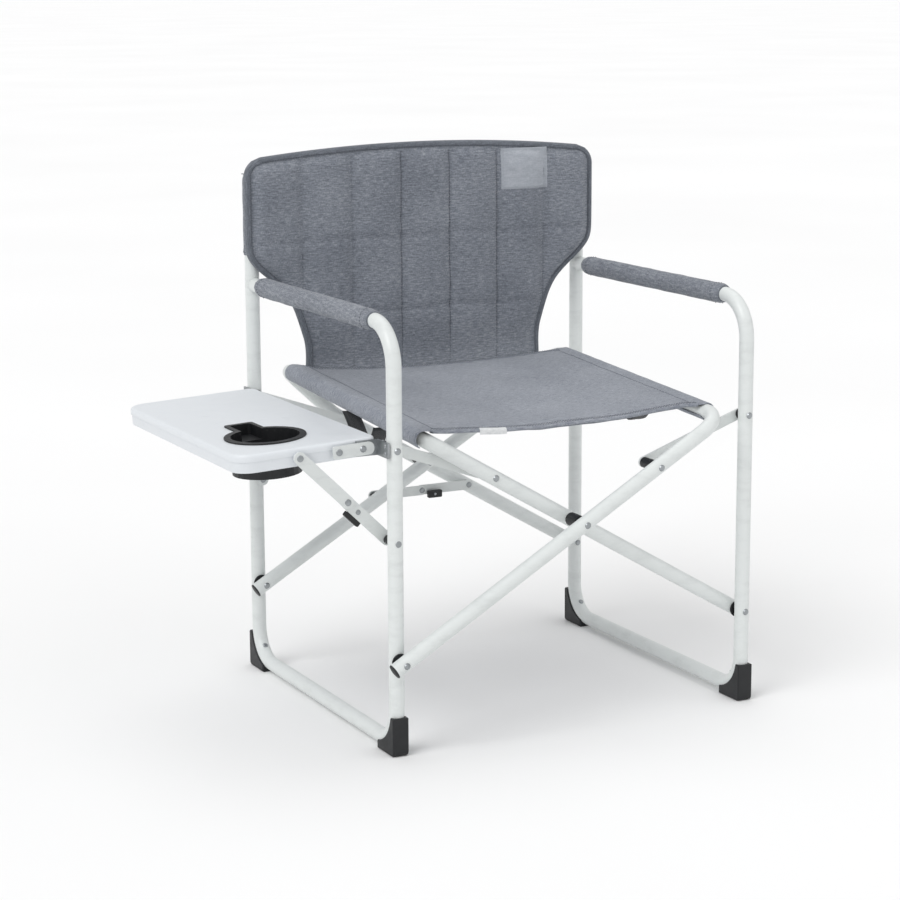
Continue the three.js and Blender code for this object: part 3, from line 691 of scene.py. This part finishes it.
def table_rib(shape, start, stop):
    """A tapered rib under the top, along x or along y."""
    (x0, y0), (x1, y1) = start, stop
    ox, oy = (0.0, 1.0) if y0 == y1 else (1.0, 0.0)
    rows = []
    for z, w in ((UNDER_Z + 0.3, 1.3), (1.5, 0.9), (0.8, 0.5)):
        ax, ay = ox * w, oy * w
        corners = ((x0 - ax, y0 - ay), (x1 - ax, y1 - ay), (x1 + ax, y1 + ay), (x0 + ax, y0 + ay))
        rows.append([Vector(on_table(a, b, z)) for a, b in corners])
    shape.grid(rows, 0, around=True, caps=True)


def table_panel():
    """The moulded top: its face with the cup well's hole, its skirt, and ribs clear of the well."""
    top = Shape()
    top.grid([table_ring(inset, TOP_Z + dz) for inset, dz in EDGE], 0, around=True)
    well, well_under = cup_outline(*WELL, TOP_Z), cup_outline(*WELL, UNDER_Z)
    for outer, inner in ((table_ring(5.2, TOP_Z), well), (table_ring(4.1, UNDER_Z), well_under)):
        top.add(*filled(outer, inner))
    top.grid([well, well_under], 0, around=True)
    for y in (20, 70, 120, 170):
        table_rib(top, (-180, y), (20, y))
    for x, y in ((-130, -24), (-60, -24), (-20, -221)):
        table_rib(top, (x, y), (x, 221))
    top.finish("table_panel", [TABLE], "table", 35, ["table_top"], "table_plastic")


def cup_lip():
    """The black holder's rounded lip, which lies on the table round the well."""
    cup = Shape()
    lip = [(58.0, 22.0, 48.0, 14.2), (58.0, 22.0, 48.0, 15.3), (57.2, 21.2, 47.2, 16.0)]
    lip += [(55.5, 19.6, 45.4, 16.2), (50.5, 17.6, 41.4, 15.6), (48.9, 16.1, 40.1, 14.4)]
    lip.append((48.4, 15.8, 39.8, 12.0))
    cup.grid([cup_outline(*line) for line in lip], 0, around=True, along=True)
    cup.finish("cup_well_lip", [BLACK], "table", 50, [], "black_plastic")


table_panel()
cup_lip()

# ---------- arm sleeves

SLEEVE_FRONT, SLEEVE_LENGTH, ARM_SLEEVE_R, STATIONS = -193.0, 408.0, 15.0, 96


def arm_sleeve(name, side):
    """A padded sleeve round an arm, gathered at both ends, with a sewn seam below."""
    sleeve = Shape()
    rows, weave = [], []
    for i in range(STATIONS + 1):
        t = i / STATIONS
        y = SLEEVE_FRONT + SLEEVE_LENGTH * t
        from_end = min(t, 1 - t) * SLEEVE_LENGTH
        gather = 1 - 0.16 * math.exp(-((from_end / 5.0) ** 1.6))
        pucker = math.exp(-((from_end / 14.0) ** 2))
        row, cloth = [], []
        for k in range(40):
            a = 2 * math.pi * k / 40
            loose = soft(math.cos(a) * 12, y * 0.55, math.sin(a) * 12, 14, side * 3.1)
            r = ARM_SLEEVE_R * gather + 0.55 * loose
            groove = math.exp(-((((a - 1.5 * math.pi) * ARM_SLEEVE_R) / 1.8) ** 2))
            r += 0.35 * pucker * math.sin(a * 11 + side) - 0.9 * groove
            row.append(Vector((side * POST_X + r * math.cos(a), y, ARM_Z + r * math.sin(a))))
            cloth.append((y, a * ARM_SLEEVE_R, side * 40))
        rows.append(row)
        weave.append(cloth)
    sleeve.grid(rows, 0, around=True, weave=weave)
    ends = []
    for begin, sign in ((0, -1), (STATIONS, 1)):
        # The bound edge turns in to the arm.
        middle = [Vector((side * POST_X, p.y, ARM_Z)) for p in rows[begin]]
        edge = []
        for share, out in ((1, 0), (0.96, 1.3), (0.86, 1.6), (0.75, 0.8)):
            edge.append([m.lerp(p, share) + Vector((0, sign * out, 0)) for m, p in zip(middle, rows[begin])])
        sleeve.grid(edge, 1, around=True)
        ends.append(edge[-1])
    sleeve.grid(ends, 0, around=True)
    seam = [(side * POST_X + 2.2, -186 + 4 * i, ARM_Z - 14.6) for i in range(99)]
    stitches(sleeve, seam, (0, 0, -1), 2)
    for begin in (4, STATIONS - 4):
        ring = [rows[begin][k % 40] for k in range(41)]
        centre = Vector((side * POST_X, rows[begin][0].y, ARM_Z))
        stitches(sleeve, ring, [p - centre for p in ring], 2)
    materials = [CLOTH, BINDING, THREAD]
    obj = sleeve.finish(f"{name}_arm_sleeve", materials, f"{name}_side", 60, [f"{name}_arm_pad"], "cloth")


for name, side in SIDES:
    arm_sleeve(name, side)

# ---------- backrest

# The panel's half width at heights up its side, which is then smoothed
WIDTH_AT = [(466, 206), (490, 205), (503, 205.3), (515, 206.5), (545, 216), (570, 225), (591, 237)]
WIDTH_AT += [(606, 252), (621, 269), (634, 284), (645, 294), (655, 300.5), (668, 303.5)]
WIDTH_AT += [(690, 304), (783, 304)]
grid_z = np.arange(430, 784, 2.0)
smooth_kernel = np.exp(-(np.arange(-8, 9) ** 2) / 18.0)
raw_width = np.interp(grid_z, [p[0] for p in WIDTH_AT], [p[1] for p in WIDTH_AT])
smooth_width = np.convolve(np.pad(raw_width, 8, "edge"), smooth_kernel / smooth_kernel.sum(), "valid")
BOTTOM_Z, SIDE_TOP_Z, CORNER, TOP_HALF = 450.0, 806.0, 27.0, 304
SEAMS = (-212.5, -127.5, -42.5, 42.5, 127.5, 212.5)
HALF_CHANNEL, QUILT_HEIGHT = 42.5, 8.0
FRONT_Y, BACK_Y = 232.0, 242.0
LABEL_X, LABEL_Z, LABEL_WIDTH, LABEL_HEIGHT = 134, 741, 84, 65


def half_width(z):
    if z <= SIDE_TOP_Z - CORNER:
        return float(np.interp(z, grid_z, smooth_width))
    up = z - (SIDE_TOP_Z - CORNER)
    return TOP_HALF - CORNER + math.sqrt(max(CORNER**2 - up**2, 0))


def top_z(x):
    return 821.5 - 1.95e-4 * x * x


columns = sorted(
    {round(x, 2) for x in np.arange(-188, 188.1, 4.0)}
    | {round(s + d, 2) for s in SEAMS[1:5] for d in (-2.6, -1.3, 0, 1.3, 2.6)}
)
columns = [x for i, x in enumerate(columns) if i == 0 or x - columns[i - 1] > 0.9]


def panel_row(t, outer_steps=28):
    """A row of places on the panel, at share t of the way up, closer together beside each seam."""
    z_side = BOTTOM_Z + (SIDE_TOP_Z - BOTTOM_Z) * t
    w = half_width(z_side)
    xs = [-w + (w - 190) * k / outer_steps for k in range(outer_steps)] + columns
    xs += [190 + (w - 190) * k / outer_steps for k in range(1, outer_steps + 1)]
    return [(x, BOTTOM_Z + (top_z(x) - BOTTOM_Z) * t) for x in xs]


panel_rows = [panel_row(i / 92) for i in range(93)]


def edge_distance(x, z):
    share = min(1.0, max(0.0, (z - BOTTOM_Z) / (top_z(x) - BOTTOM_Z)))
    w = half_width(BOTTOM_Z + (SIDE_TOP_Z - BOTTOM_Z) * share)
    return max(0.0, min((w - abs(x)) * 0.9, top_z(x) - z, z - BOTTOM_Z))


def quilt(x, z):
    """How far the quilted face stands up from its seams at a place, in mm."""
    d = min(abs(x - s) for s in SEAMS)
    if abs(x) > SEAMS[-1]:
        d = min(d, HALF_CHANNEL)
    share = min(1.0, d / HALF_CHANNEL)
    h = QUILT_HEIGHT * (1 - (1 - share) ** 2.8)
    h -= 1.2 * math.exp(-((d / 1.8) ** 2))
    for level in (675.0, 560.0):
        h -= 2.3 * math.exp(-(((z - level - 4 * soft(x, 0, 0, 90)) / 4.5) ** 2))
    # Puckers run out of each seam, and slow folds cross the whole face.
    h += 1.5 * math.exp(-d / 11) * soft(x * 0.3, 3, z, 8, 2.0)
    h += 1.9 * soft(x, 0, z, 52, 5.0) + 0.9 * soft(x * 0.6, 0, z, 19, 8.0) + 0.3 * soft(x, 0, z, 8, 3.0)
    fade = min(1.0, max(0.0, (edge_distance(x, z) - 7) / 15))
    fade = fade * fade * (3 - 2 * fade)
    low = min(1.0, max(0.35, (z - 470) / 60))
    return h * fade * low


def blown_backrest():
    """The panel as a plain flat cushion, blown up as cloth."""
    coarse = [[panel_row(i / 30)[j] for j in range(0, len(panel_rows[0]), 3)] for i in range(31)]
    faces = []
    for y in (FRONT_Y, BACK_Y):
        faces.append([[Vector((x * 0.985, y, 645 + (z - 645) * 0.975)) for x, z in row] for row in coarse])
    blank = Shape()
    blank.shell(*faces)
    return inflated(blank, 4.0, 7.0)


backrest_tree = blown_backrest()


def swell(x, z, front):
    """How far the blown cloth stands out from the flat panel at a place, fading near the edge."""
    if backrest_tree is None:
        return 0.0
    origin = at(x, 150 if front else 330, z)
    hit = backrest_tree.ray_cast(origin, Vector((0, 1 if front else -1, 0)))[0]
    if hit is None:
        return 0.0
    level = FRONT_Y - hit.y * 1000 if front else hit.y * 1000 - BACK_Y
    return max(-1.0, min(6.0, level)) * 0.35 * min(1.0, max(0.0, edge_distance(x, z) - 10) / 30)


def inward(points):
    """For a closed outline in X and Z, the unit direction into it at each point."""
    result = []
    count = len(points)
    for i in range(count):
        ahead = points[(i + 2) % count] - points[i - 2]
        ahead.y = 0
        if ahead.length < 1e-6:
            ahead = Vector((1, 0, 0))
        ahead.normalize()
        result.append(Vector((-ahead.z, 0, ahead.x)))
    middle = sum((p for p in points), Vector()) / count
    if sum(result[i].dot(middle - points[i]) for i in range(count)) < 0:
        result = [-n for n in result]
    return result


def backrest_faces(back):
    """The quilted front and the plainer back of the panel; gives the front's outline."""
    front_rows, back_rows, weave = [], [], []
    for row in panel_rows:
        front_rows.append([Vector((x, FRONT_Y - quilt(x, z) - swell(x, z, True), z)) for x, z in row])
        behind = [0.35 * quilt(x, z) + 0.6 * swell(x, z, False) - 0.6 for x, z in row]
        back_rows.append([Vector((x, BACK_Y + out, z)) for (x, z), out in zip(row, behind)])
        weave.append([(x, z, 0) for x, z in row])
    back.shell(front_rows, back_rows, 0, 1, weave)
    return rim(front_rows)


def backrest_tape(back, outline):
    """Binding tape folded round the panel's edge, and the row of stitches on each of its faces."""
    flat = [Vector((p.x, 0, p.z)) for p in outline]
    normals = inward(flat)
    # How far in from the edge, and how far back, each line of the tape runs
    tape = [(8.6, FRONT_Y + 0.4), (8.0, FRONT_Y - 1.2), (6.0, FRONT_Y - 1.9), (3.0, FRONT_Y - 2.0)]
    tape += [(1.0, FRONT_Y - 1.3), (-0.4, FRONT_Y + 1.2), (-1.0, (FRONT_Y + BACK_Y) / 2)]
    tape += [(-0.4, BACK_Y - 1.0), (1.2, BACK_Y + 0.9), (6.0, BACK_Y + 1.3)]
    tape += [(8.0, BACK_Y + 0.9), (8.6, BACK_Y - 0.5)]
    rows, weave, travelled = [], [], 0.0
    for i, (p, n) in enumerate(zip(flat, normals)):
        travelled += (p - flat[i - 1]).length if i else 0
        ripple = 0.25 * soft(p.x, 7, p.z, 7)
        rows.append([Vector((p.x, 0, p.z)) + n * d + Vector((0, y + ripple, 0)) for d, y in tape])
        weave.append([(travelled, k * 3.0, 9) for k in range(len(tape))])
    back.grid(rows, 1, around=True, along=True, weave=weave)
    for face, y, spacing in ((-1, FRONT_Y - 1.85, ()), (1, BACK_Y + 1.2, (4.0, 2.0))):
        line = [p + n * 6.6 + Vector((0, y, 0)) for p, n in zip(flat, normals)]
        stitches(back, line, (0, face, 0), 2, *spacing)


def on_label(x, z):
    return LABEL_X < x < LABEL_X + LABEL_WIDTH and z > LABEL_Z - 1


def channel_seams(back):
    """The six upright seams between the padded channels, which the label covers in part."""
    for x in SEAMS:
        line = []
        for i in range(120):
            z = BOTTOM_Z + 14 + (top_z(x) - BOTTOM_Z - 28) * i / 119
            if edge_distance(x, z) > 9 and not on_label(x, z):
                line.append((x, FRONT_Y - quilt(x, z) - swell(x, z, True) - 0.1, z))
        stitches(back, line, (0, -1, 0), 2, 3.2, 1.4, 0.38)


def blank_label(back, up=24, across=28):
    """A plain woven label near the top of the front, sewn down round its edge."""
    rows, weave = [], []
    for i in range(up + 1):
        z = LABEL_Z + LABEL_HEIGHT * i / up
        rows.append([])
        weave.append([])
        for j in range(across + 1):
            x = LABEL_X + LABEL_WIDTH * j / across
            inside = min(i, up - i, j, across - j)
            face = max(quilt(x, z) + swell(x, z, True), 2.6)
            rows[-1].append(Vector((x, FRONT_Y - face - (1.1 if inside else 0.2), z)))
            weave[-1].append((x, z, 60))
    back.slab(rows, (0, 0.9, 0), 3, weave=weave)
    sewn = rim([row[1:-1] for row in rows[1:-1]])
    sewn.append(sewn[0])
    stitches(back, sewn, (0, -1, 0), 3, 2.2, 1.0, 0.35)


def post_sleeve(name, side, low=657, height=129, last=33):
    """A sleeve round the upper part of a post, which stays round as the panel folds."""
    sleeve = Shape()
    rows, weave = [], []
    for i in range(last + 1):
        z = low + height * i / last
        lean = 3.5 * max(0.0, (z - 768) / 18) ** 2
        narrow = 0.5 if i in (0, last) else 0
        hem = 0.5 if i in (1, 2) else 0.0
        row, cloth = [], []
        for k in range(30):
            a = math.radians(-60 + 250 * k / 29)
            r = 12.4 + hem + 0.35 * soft(math.cos(a) * 9, side * 20, z * 0.6, 11) - narrow
            reach = POST_X - lean + (r - lean * 0.3) * math.cos(a)
            row.append(Vector((side * reach, POST_Y + r * math.sin(a), z)))
            cloth.append((side * k * 2.2, z, 30))
        # Its two plies lie flat behind the panel, where they are sewn together.
        seam_x = 262 + 1.0 * soft(0, 4, z, 20)
        flat = [(seam_x + 6, 2.4), (seam_x, 0.4), (seam_x + 12, -1.5), (POST_X + 4, -1.0)]
        row += [Vector((side * x, BACK_Y + out, z)) for x, out in flat]
        cloth += [(side * (66 + 6 * k), z, 30) for k in range(4)]
        rows.append(row)
        weave.append(cloth)
    sleeve.grid(rows, 0, around=True, caps=True, weave=weave)
    line = [(side * 266, BACK_Y + 2.4, low + 5 + 3.8 * i) for i in range(32)]
    stitches(sleeve, line, (0, 1, 0), 1)
    turns = [math.radians(-55 + 240 * k / 25) for k in range(26)]
    outward = [(side * math.cos(a), math.sin(a), 0) for a in turns]
    for level in (low + 4.5, low + height - 4.5):
        ring = [(side * (POST_X + 12.7 * math.cos(a)), POST_Y + 12.7 * math.sin(a), level) for a in turns]
        stitches(sleeve, ring, outward, 1)
    sleeve.finish(f"{name}_post_sleeve", [CLOTH, THREAD], f"{name}_side", 60, [], "cloth")


back = Shape()
backrest_tape(back, backrest_faces(back))
channel_seams(back)
blank_label(back)
for name, side in SIDES:
    post_sleeve(name, side)
materials = [CLOTH, BINDING, THREAD, LABEL]
backrest = back.finish("padded_backrest", materials, "left_side", 60, ["backrest"], "cloth")
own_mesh(backrest)

# ---------- seat

SEAT_HALF, SLEEVE_R, HEM_HALF = 208.0, 13.3, 214


def seat_point(x, y, z):
    """From the square cut to the chair: the cloth lies between rails that are offset front to rear."""
    across = (max(-RAIL_X, min(RAIL_X, x)) + RAIL_X) / (2 * RAIL_X)
    near_left, near_right = (min(1.0, max(0.0, (k * x - 202) / 18)) for k in (-1, 1))
    front = -228 + 3 * across - 14 * near_right
    rear = 212 - 26 * across + 25 * near_left
    placed = front + (rear - front) * (y + SEAT_HALF) / (2 * SEAT_HALF)
    return Vector((x, placed, z + rail_z(2 * across - 1, placed)))


def sheet_height(x, y):
    """The seat's upper face above its rails' axes: a shallow hammock with pull folds at its corners."""
    u = x / RAIL_X
    h = SLEEVE_R - 11.5 * (1 - u * u) - 1.2 * (1 - u * u) * (1 - (y / SEAT_HALF) ** 2)
    fade = max(0.0, 1 - abs(u)) ** 0.5
    h += fade * (2.0 * soft(x * 0.5, y, 0, 62, 4.0) + 0.9 * soft(x * 0.5, y, 0, 19, 6.0))
    corner = math.exp(-((SEAT_HALF - abs(y)) / 60) ** 2) * math.exp(-((1 - abs(u)) * 4) ** 2)
    h += 1.3 * corner * math.sin((abs(x) * 0.5 + abs(y)) * 0.16) * fade
    return h


def seat_surface(x, y, lift):
    """A point of the seat's upper face, raised by lift."""
    return seat_point(x, y, sheet_height(x, y) + lift)


def blown_seat():
    """The seat as a plain flat cushion, blown up as cloth."""
    xs, ys = np.linspace(-206, 206, 44), np.linspace(-203, 203, 42)
    blank = Shape()
    blank.shell(*([[seat_surface(x, y, -drop) for x in xs] for y in ys] for drop in (1.0, 7.0)))
    return inflated(blank, 3.0, 5.0)


seat_tree = blown_seat()


def seat_swell(point):
    """How far the blown seat stands above a point, fading towards the rails."""
    if seat_tree is None:
        return 0.0
    hit = seat_tree.ray_cast(at(point.x, point.y, point.z + 60), Vector((0, 0, -1)))[0]
    if hit is None:
        return 0.0
    rise = hit.z * 1000 - point.z
    reach = min(1.0, max(0.0, (200 - abs(point.x)) / 40))
    return max(-1.0, min(3.5, rise)) * 0.5 * reach


def round_rail(side, angles, y, looser, seed):
    """Points of the cloth round a rail, at angles in degrees from the rail's outer side."""
    points = []
    for a in angles:
        c, s = math.cos(math.radians(a)), math.sin(math.radians(a))
        r = SLEEVE_R + 0.3 * soft(c * 9, y, s * 9, 15, seed) + looser
        points.append(seat_point(side * RAIL_X + r * c, y, r * s))
    return points


def seat_row(y):
    """One line across the top layer, from under the left rail, over the seat and round the right rail."""
    # Near the front the left sleeve is cut away below, where the rail's bend comes out of it.
    opened = min(1.0, max(0.0, (-y - 172) / 26))
    points = round_rail(-1, np.linspace(-25 - 95 * opened, -270, 24), y, 0.5 * opened, 1.0)
    for x in np.linspace(-222, 222, 75):
        p = seat_surface(x, y, 0)
        p.z += seat_swell(p)
        points.append(p)
    points += round_rail(1, np.linspace(90, -155, 24), y, 0, 2.0)
    cloth, travelled = [], 0.0
    for i, p in enumerate(points):
        travelled += (p - points[i - 1]).length if i else 0
        cloth.append((travelled - 260, y, 100))
    return points, cloth


def seat_top_layer():
    seat = Shape()
    made = [seat_row(y) for y in np.linspace(-SEAT_HALF, SEAT_HALF, 84)]
    seat.grid([points for points, _ in made], 0, weave=[cloth for _, cloth in made])
    obj = seat.finish("seat_top_layer", [SEAT_CLOTH, PAINTED_SHADE_CLOTH], None, 70)
    # The inner faces take the near-black painted-shade cloth, which stands in for the shade inside the
    # sleeves.
    solidify(obj, 1.8, -1.0, 1)
    return obj


def seat_lining(shape):
    """The lower layer, which hangs a little below the upper one."""
    rows = []
    for y in np.linspace(-SEAT_HALF, SEAT_HALF, 42):
        rows.append([])
        for x in np.linspace(-HEM_HALF, HEM_HALF, 44):
            sag = 1.8 * (1 - (x / HEM_HALF) ** 2) + 0.8 * soft(x, y, 9, 30)
            rows[-1].append(seat_surface(x, y, -3.2 - sag))
    shape.slab(rows, (0, 0, 0.8), 0, weave=[[(p.x, p.y, 120) for p in row] for row in rows])


def seat_hem(shape, end):
    """The hem is turned over a narrow tape and sewn with two rows."""
    edge = end * SEAT_HALF
    # How far in from the edge, and how far above the sheet, each line of the hem runs
    profile = [(9.5, 0.15), (9.0, 0.75), (4.5, 1.0), (0.6, 0.6), (-0.9, -1.2), (-0.6, -3.4)]
    profile += [(1.5, -4.9), (9.0, -5.3), (9.6, -4.4)]
    rows, weave = [], []
    for x in np.linspace(-216, 216, 110):
        row = []
        for inset, lift in profile:
            p = seat_surface(x, edge - end * inset, lift)
            p.z += seat_swell(p) if inset > 2 else 0
            row.append(p)
        rows.append(row)
        weave.append([(x, k * 2.5, 130) for k in range(len(profile))])
    shape.grid(rows, 0, around=True, caps=True, weave=weave)
    for inset in (3.2, 8.0):
        line = [seat_surface(x, edge - end * inset, 1.0) for x in np.linspace(-HEM_HALF, HEM_HALF, 130)]
        stitches(shape, line, (0, 0, 1), 2, 3.0, 1.4, 0.4)


def rail_seam(shape, side):
    """The sleeve's seam beside a rail."""
    line = [seat_surface(side * 211, y, 0.1) for y in np.linspace(-205, 205, 120)]
    line = [Vector((p.x, p.y, p.z + seat_swell(p))) for p in line]
    stitches(shape, line, (0, 0, 1), 2, 3.0, 1.4, 0.4)


def hem_tag(shape):
    """A small blank tag folded over the front hem."""
    rows = []
    for inset, lift in ((2.4, 1.5), (0.4, 1.1), (-1.6, -1.2), (-1.5, -5.6), (-1.3, -7.4)):
        rows.append([])
        for x in np.linspace(-142, -99, 12):
            p = seat_surface(x, -SEAT_HALF + inset, lift)
            p.z += 0.2 * soft(x, 0, lift, 9)
            rows[-1].append(p)
    shape.slab(rows, (0, 0.5, 0.1), 3)


seat_obj = seat_top_layer()
under = Shape()
seat_lining(under)
for end in (-1, 1):
    seat_hem(under, end)
for side in (-1, 1):
    rail_seam(under, side)
hem_tag(under)
under_obj = under.finish("seat_under_layer", [SEAT_CLOTH, PAINTED_SHADE_CLOTH, THREAD, TAG], None, 70)
with bpy.context.temp_override(
    active_object=seat_obj, object=seat_obj, selected_editable_objects=[seat_obj, under_obj]
):
    bpy.ops.object.join()
seat_obj.name = "padded_seat"
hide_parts("seat_cloth")
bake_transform(seat_obj)

# ---------- carry loops

WEBBING_HALF, LOOP_HALF, LOOP_DROP = 12.5, 56, 42.5


def webbing_loop(name, side):
    """A webbing handle that hangs from a rail's sleeve, leaning a little to one end."""
    loop = Shape()
    rows, weave = [], []
    for i in range(41):
        t = i / 20 - 1
        y = -26 + side * 6 + LOOP_HALF * t
        bow = max(-1.0, min(1.0, (t + 0.25 * (1 - t * t))))
        z = rail_z(side, y) - TUBE_R - 2.9 - LOOP_DROP * (1 - abs(bow) ** 1.7)
        edge_x = side * RAIL_X - WEBBING_HALF
        lean = 1.5 * math.sin(t * 2 + side)
        row = [(edge_x + 2 * WEBBING_HALF * k / 6 + lean, y, z + 0.25 * math.cos(k * 2.1)) for k in range(7)]
        rows.append([Vector(p) for p in row])
        weave.append([(k * 4.0, i * 4.4, 200) for k in range(7)])
    loop.grid(rows, 0, weave=weave)
    obj = loop.finish(f"{name}_webbing_loop", [WEB], None, 60)
    solidify(obj, 2.0, 0.0)
    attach(obj, f"{name}_seat_frame")
    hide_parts(f"{name}_carry_loop")


for name, side in SIDES:
    webbing_loop(name, side)

# ---------- finish on the carried-over CAD nodes

# The first word of these that a node's name holds gives its finish and the width of its edges' bevel.
SOLID_FINISH = {
    "spacer": (BLACK, 0.4),
    "rivet": (ZINC, 0.5),
    "pin": (ZINC, 0.5),
    "tab": (BLACK, 1.0),
    "bracket": (ZINC, 0.5),
    "foot": (BLACK, 1.2),
    "cup": (BLACK, 0.7),
    "bar": (STRAP, 0.7),
    "brace": (STRAP, 0.5),
    "stay": (STRAP, 0.5),
    "link": (STRAP, 0.5),
}
for name, obj in nodes.items():
    key = next((k for k in SOLID_FINISH if k in name.split("_")), None)
    if key is None:
        continue
    finish, width = SOLID_FINISH[key]
    if obj.material_slots:
        for material_slot in obj.material_slots:
            material_slot.material = finish
    else:
        obj.data.materials.append(finish)
    bevel = obj.modifiers.new("edges", "BEVEL")
    bevel.width = width / 1000
    bevel.segments = 2
    bevel.limit_method = "ANGLE"
    bevel.angle_limit = math.radians(40)

# ---------- stage, light and camera


def studio_floor(reach=300000, step=25000, drop=0.4):
    """A wide pale floor just under the feet."""
    places = range(-reach, reach + 1, step)
    floor = Shape()
    floor.grid([[(x, y, -drop) for x in places] for y in places])
    n = Nodes("studio_floor", "#f6f6f6", 0.95)
    n.shader.inputs["Specular IOR Level"].default_value = 0.05
    n.colour(n.ramp(n.noise((0.6, 0.6, 0.6), 2.0), [(0.3, "#f4f4f4"), (0.7, "#f7f7f7")]))
    floor.finish("studio_floor", [n.material])


studio_floor()
scene = bpy.context.scene
world = scene.world or bpy.data.worlds.new("studio")
scene.world = world
world.use_nodes = True
sky = world.node_tree.nodes["Background"].inputs
sky["Color"].default_value = (1.0, 1.0, 1.0, 1.0)
sky["Strength"].default_value = 0.62


def sun(name, toward, spread, strength, tint=(1, 1, 1)):
    """A broad soft light that falls evenly from one direction."""
    light = bpy.data.lights.new(name, "SUN")
    light.angle, light.energy, light.color = math.radians(spread), strength, tint
    obj = bpy.data.objects.new(name, light)
    obj.rotation_euler = Vector(toward).to_track_quat("-Z", "Y").to_euler()
    scene.collection.objects.link(obj)


sun("key", (0.9, 0.35, -1.0), 34, 1.25)
sun("fill", (-0.7, 0.75, -0.75), 60, 0.35, (0.97, 0.98, 1.0))
sun("top", (-0.15, -0.5, -1.3), 40, 0.4)
scene.view_settings.view_transform = "Standard"

# The camera stands in front and to the left, and looks slightly down.
turn, rise, roll = math.radians(-26.68), math.radians(11.25), math.radians(-0.30)
back_axis = Vector((math.sin(turn) * math.cos(rise), -math.cos(turn) * math.cos(rise), math.sin(rise)))
right_axis = Vector((math.cos(turn), math.sin(turn), 0))
up_axis = back_axis.cross(right_axis)
right_axis, up_axis = (
    right_axis * math.cos(roll) + up_axis * math.sin(roll),
    -right_axis * math.sin(roll) + up_axis * math.cos(roll),
)
lens = bpy.data.cameras.new("camera")
lens.lens, lens.sensor_width = 96.73, 36
camera = bpy.data.objects.new("camera", lens)
axes = Matrix((right_axis, up_axis, back_axis)).transposed()
camera.matrix_world = Matrix.Translation(at(-1686.5, -3207.6, 1088.0)) @ axes.to_4x4()
scene.collection.objects.link(camera)
scene.camera = camera
